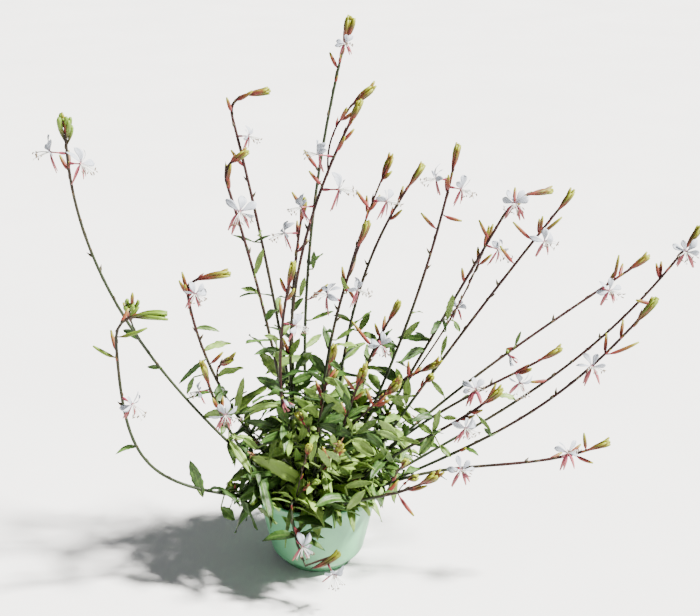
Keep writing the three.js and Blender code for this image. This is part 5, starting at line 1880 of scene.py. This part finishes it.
# Short side shoots with young ears, seen among the leaves: pixels of the foot and the tip, how many buds,
# whether they are green, and how far the tip leans towards the front.
seenShoots = [
    shootAt((404, 400), (430, 378), 8, False, 6), shootAt((372, 424), (392, 386), 7, False, 6),
    shootAt((326, 482), (336, 454), 7, False, 16), shootAt((305, 492), (309, 448), 9, False, 22),
    shootAt((306, 498), (316, 482), 6, True, 20), shootAt((380, 480), (405, 463), 7, False, 14),
    shootAt((386, 492), (414, 478), 8, False, 14), shootAt((246, 494), (231, 484), 6, True, 6),
    shootAt((270, 500), (253, 501), 5, True, 12), shootAt((306, 444), (299, 416), 7, False, 8),
]


def makeShoots():
    bm = startPiece()
    for index, plan in enumerate(seenShoots):
        start = stemPoint(*stalkNear(plan["foot"]))
        tip = seenAt(plan["tip"], start[1] - plan["lean"])
        run = {"name": "green_shoot" if plan["green"] else "shoot", "start": start, "tip": tip,
               "bow": (0, 0, 3), "from": 0.5, "redness": 0.6, "slim": 0.6}
        addStalk(bm, run, run["redness"])
        addEar(bm, run, seeds["shootEars"] + index, plan["buds"])
        addNubs(bm, run, seeds["shootNubs"] + index)
    finishPiece(bm, "side_shoots", [stalkSkin, budSkin, capsuleSkin])


makeSeenBuds()
makeTufts()
makeShoots()

flowerShape = {
    "petalRows": 6, "petalColumns": 4, "petalThick": 0.35, "petalLengths": (0.74, 0.22),
    "petalWidths": (0.66, 0.2), "petalStray": 26, "petalTwist": 110, "petalRoot": 0.35, "claw": 0.14,
    "curl": (0.1, 0.75), "lift": 0.25, "cup": 0.16, "ripple": 0.05,
    "sepalRows": 5, "sepalColumns": 2, "sepalThick": 0.5, "sepalStray": 20, "sepalWidth": 1.3,
    "sepalLengths": (0.44, 0.2), "sepalSag": 0.35, "sepalEnd": 0.25, "sepalCup": 0.35,
    "filaments": 8, "filamentRadius": 0.28, "filamentSag": 0.18, "filamentLengths": (0.85, 0.35), "fan": 0.75,
    "fanStray": 0.2, "ahead": 0.8, "sweep": (-0.6, 0.5), "sweepStray": 0.4, "taper": 0.3, "sides": 5,
    "filamentSteps": (0, 0.25, 0.5, 0.75, 1), "antherLength": 3.6, "antherRadius": 0.6,
    "antherProfile": (0.3, 0.95, 1, 0.9, 0.3), "styleLength": 1.15, "lobes": (45, 135, 225, 315),
    "lobeLength": 1.3, "lobeRadius": 0.3,
    "lobeProfile": (0.5, 1, 0.4), "tubeSteps": (0, 0.12, 0.3, 0.42, 0.5, 0.8, 0.94, 1), "tubeSides": 8,
    "tubeSizes": (0.6, 1.0, 1.05, 0.8, 0.55, 0.52, 0.75, 1.1), "sunk": 0.5,
    "pairedTurn": 140, "pairShare": 0.75, "mostRoll": 30,
}
# The materials of a flower, by their places in its list.
petalPart, rosePart, stamenPart = 0, 1, 2


# A spoon-shaped petal on a narrow claw, a little cupped and rippled.
def addPetal(bm, place, turn, random):
    shape = flowerShape
    scale = place["scale"]
    length = bloomShape["petalLength"] * scale * varied(random, shape["petalLengths"])
    half = bloomShape["petalWidth"] * scale / 2 * varied(random, shape["petalWidths"])
    angle = math.radians(turn + wobble(random, shape["petalStray"]))
    curl, phase = varied(random, shape["curl"]), math.tau * random()
    twist = math.radians(wobble(random, shape["petalTwist"]))
    flat = math.cos(twist)
    aside = inFrame(place, 0, math.sin(angle), math.cos(angle))
    wide = inFrame(place, math.sin(twist), flat * math.cos(angle), -flat * math.sin(angle))
    root = add(place["throat"], aside, bloomShape["hubRadius"] * shape["petalRoot"] * scale)

    def point(share, across, lift):
        blade = math.sin(math.pi * min(1, share ** 2.1 * 0.97)) ** 0.75
        width = half * (shape["claw"] + (1 - shape["claw"]) * blade)
        spot = add(root, aside, length * share)
        ahead = length * (shape["lift"] * share - curl * share ** 3)
        ahead += shape["cup"] * half * across * across * share
        ahead += shape["ripple"] * length * share * across * math.sin(phase + 5 * share)
        thick = shape["petalThick"] * (1 - 0.6 * abs(across)) * (1 - 0.4 * share)
        return add(add(spot, place["forward"], ahead - thick * (1 - lift)), wide, width * across)
    addBlade(bm, point, shape["petalRows"], shape["petalColumns"], random(), petalPart)


# A narrow sepal, bent back from the flower.
def addSepal(bm, place, turn, random):
    shape = flowerShape
    scale = place["scale"]
    turn += wobble(random, shape["sepalStray"])
    angle = math.radians(turn)
    wide = inFrame(place, 0, math.cos(angle), -math.sin(angle))
    half = bloomShape["sepalWidth"] * scale / 2 * shape["sepalWidth"]
    size = varied(random, shape["sepalLengths"])
    sag = shape["sepalSag"] * bloomShape["sepalLength"] * scale

    def point(share, across, lift):
        blade = math.sin(math.pi * min(1, share * 0.96 + 0.02))
        width = half * (shape["sepalEnd"] + (1 - shape["sepalEnd"]) * blade)
        spot = add(sepalPoint(place, turn, share * size), (0, 0, -1), sag * share * share)
        thick = shape["sepalThick"] * (1 - 0.5 * abs(across))
        ahead = shape["sepalCup"] * width * across * across - thick * (1 - lift)
        return add(add(spot, place["forward"], ahead), wide, width * across)
    addBlade(bm, point, shape["sepalRows"], shape["sepalColumns"], 0.5, rosePart)


# Eight drooping filaments with long anthers, and a longer style.
def addStamens(bm, place, random):
    shape = flowerShape
    scale = place["scale"]
    sweep = varied(random, shape["sweep"])
    for i in range(shape["filaments"] + 1):
        style = i == shape["filaments"]
        fan = 0
        if not style:
            fan = -shape["fan"] + 2 * shape["fan"] * i / (shape["filaments"] - 1)
            fan += wobble(random, shape["fanStray"])
        length = shape["styleLength"] if style else varied(random, shape["filamentLengths"])
        reach = bloomShape["stamenLength"] * scale * length
        out = unit(inFrame(place, shape["ahead"], fan, sweep + shape["sweepStray"] * random()))
        sag = reach * shape["filamentSag"]
        points = [add(add(place["throat"], out, reach * step), (0, 0, -1), sag * step * step)
                  for step in shape["filamentSteps"]]
        radii = [shape["filamentRadius"] * (1 - shape["taper"] * step) for step in shape["filamentSteps"]]
        addTube(bm, points, radii, shape["sides"], 0, stamenPart)
        end = points[-1]
        if style:
            for turn in shape["lobes"]:
                lobe = unit(inFrame(place, 0.3, math.cos(math.radians(turn)), math.sin(math.radians(turn))))
                addSpindle(bm, end, lobe, shape["lobeLength"] * scale, shape["lobeRadius"],
                           shape["lobeProfile"], shape["sides"], 0, stamenPart)
            continue
        across = unit(inFrame(place, 0.2 * random(), random() - 0.5, random() - 0.3))
        long = shape["antherLength"] * scale
        addSpindle(bm, add(end, across, -long / 2), across, long, shape["antherRadius"],
                   shape["antherProfile"], shape["sides"], 1, stamenPart)


# The ovary and the slender tube that carries the flower.
def addFlowerTube(bm, place):
    shape = flowerShape
    start = add(place["base"], place["forward"], -bloomShape["lift"] - shape["sunk"])
    reach = gap(start, place["throat"])
    points = [add(start, place["forward"], reach * step) for step in shape["tubeSteps"]]
    radius = bloomShape["ovaryRadius"] * place["scale"]
    addTube(bm, points, [radius * size for size in shape["tubeSizes"]], shape["tubeSides"], 0.5, rosePart)


# How far some flowers are turned about their own axes, in degrees clockwise for a viewer whom they face.
bloomRolls = {"bloom_29": 62, "bloom_09": 32, "bloom_11": 30, "bloom_16": 20, "bloom_27": 18, "bloom_25": 6}


def makeBloom(bloom, seed, nodes):
    random = draws(seed)
    place = dict(bloom["frame"])
    shift = smoothShift(place["run"], place["at"])
    place["base"] = add(place["base"], shift)
    place["throat"] = add(place["throat"], shift)
    bm = startPiece()
    roll = bloomRolls.get(bloom["name"], flowerShape["mostRoll"] * (2 * random() - 1))
    for turn in bloomShape["petalTurns"]:
        addPetal(bm, place, turn - roll, random)
    for turn in bloomShape["sepalTurns"]:
        paired = mix(turn, math.copysign(flowerShape["pairedTurn"], turn), flowerShape["pairShare"])
        addSepal(bm, place, paired, random)
    addFlowerTube(bm, place)
    addStamens(bm, place, random)
    finishPiece(bm, bloom["name"] + "_flower", [petalWhite, roseSkin, stamenSkin], nodes)


for index, bloom in enumerate(blooms):
    makeBloom(bloom, seeds["blooms"] + seeds["bloomStep"] * index, [bloom["name"]])
for index, bloom in enumerate(fusedBlooms):
    makeBloom(bloom, seeds["fused"] + seeds["bloomStep"] * index, [])


limpShape = {
    "half": 0.8, "reach": 0.9, "wave": 1.3, "thick": 0.4, "stray": 0.6, "claw": 0.3, "cup": 0.5, "rows": 7,
    "columns": 2, "fruit": 5, "fruitRadius": 2.1, "fruitProfile": (0.3, 0.8, 1, 0.9, 0.3), "fruitSides": 9,
}


# The materials of a withered flower, by their places in its list.
limpRose, limpGreen, limpWhite = 0, 1, 2


# A withered flower: limp petals, pink and white by turns, that hang in a bunch with a green fruit.
def makeWilted(stem):
    shape = limpShape
    bm = startPiece()
    random = draws(seeds["wilted"] + stem["index"])
    for number, plan in enumerate(stem["wiltedPlans"] * 2):
        base = add(plan["base"], smoothShift(stem, plan["share"]))
        along = unit(add(plan["along"], heading(360 * random(), 0), shape["stray"]))
        side, face = bladeFrame(along, 180 * random())
        reach = plan["length"] * shape["reach"]

        def point(share, across, lift):
            blade = math.sin(math.pi * min(1, share ** 1.4 * 0.95))
            width = shape["half"] * (shape["claw"] + (1 - shape["claw"]) * blade)
            spot = add(base, along, reach * share)
            wave = shape["wave"] * math.sin(6 * share + across) - shape["thick"] * (1 - lift)
            return add(add(spot, side, width * across), face, wave + width * shape["cup"] * across * across)
        part = limpWhite if number % 2 else limpRose
        addBlade(bm, point, shape["rows"], shape["columns"], random(), part)
    foot = add(base, (0, 0, 1), -1)
    addSpindle(bm, foot, (0, 0, 1), shape["fruit"], shape["fruitRadius"], shape["fruitProfile"],
               shape["fruitSides"], -1, limpGreen)
    finishPiece(bm, "wilted_on_" + stem["name"], [roseSkin, budSkin, petalWhite])


for stem in stems:
    if stem["wiltedPlans"]:
        makeWilted(stem)
print("flowers made")


def makeCamera():
    data = bpy.data.cameras.new("camera")
    data.lens = cameraPlace["lens"]
    data.sensor_width = cameraPlace["sensor"]
    camera = bpy.data.objects.new("camera", data)
    camera.location = cameraPlace["at"]
    camera.rotation_euler = (math.radians(90 - cameraPlace["tilt"]), 0, 0)
    bpy.context.scene.collection.objects.link(camera)
    bpy.context.scene.camera = camera


# Low sun from the right, and a pale sky all round.
sunPlan = {"towards": (0.9, -0.08, 1.08), "angle": 6, "power": 35, "colour": (1, 0.97, 0.92)}
skyPlan = {"colour": (0.93, 0.96, 1.0), "strength": 0.36}
floorPlan = {"size": 14, "cells": 4, "dark": (0.52, 0.52, 0.52), "light": (0.55, 0.55, 0.55)}


def makeLights():
    data = bpy.data.lights.new("key", "SUN")
    data.angle = math.radians(sunPlan["angle"])
    data.energy = sunPlan["power"]
    data.color = sunPlan["colour"]
    light = bpy.data.objects.new("key", data)
    light.rotation_euler = Vector(sunPlan["towards"]).to_track_quat("Z", "Y").to_euler()
    bpy.context.scene.collection.objects.link(light)
    world = bpy.data.worlds.new("studio")
    world.use_nodes = True
    sky = world.node_tree.nodes["Background"]
    sky.inputs["Color"].default_value = (*skyPlan["colour"], 1)
    sky.inputs["Strength"].default_value = skyPlan["strength"]
    bpy.context.scene.world = world


def makeFloor():
    plan = floorPlan
    finish = Finish("pale floor")
    finish.colour(finish.ramp(finish.noise(3, 3, 0.5), (0.3, plan["dark"]), (0.7, plan["light"])))
    finish.rough(0.8)
    bm = bmesh.new()
    bmesh.ops.create_grid(bm, x_segments=plan["cells"], y_segments=plan["cells"], size=plan["size"])
    objectFrom(bm, "floor", [finish.material], 1)


makeCamera()
makeLights()
makeFloor()
print("camera, lights and floor made")
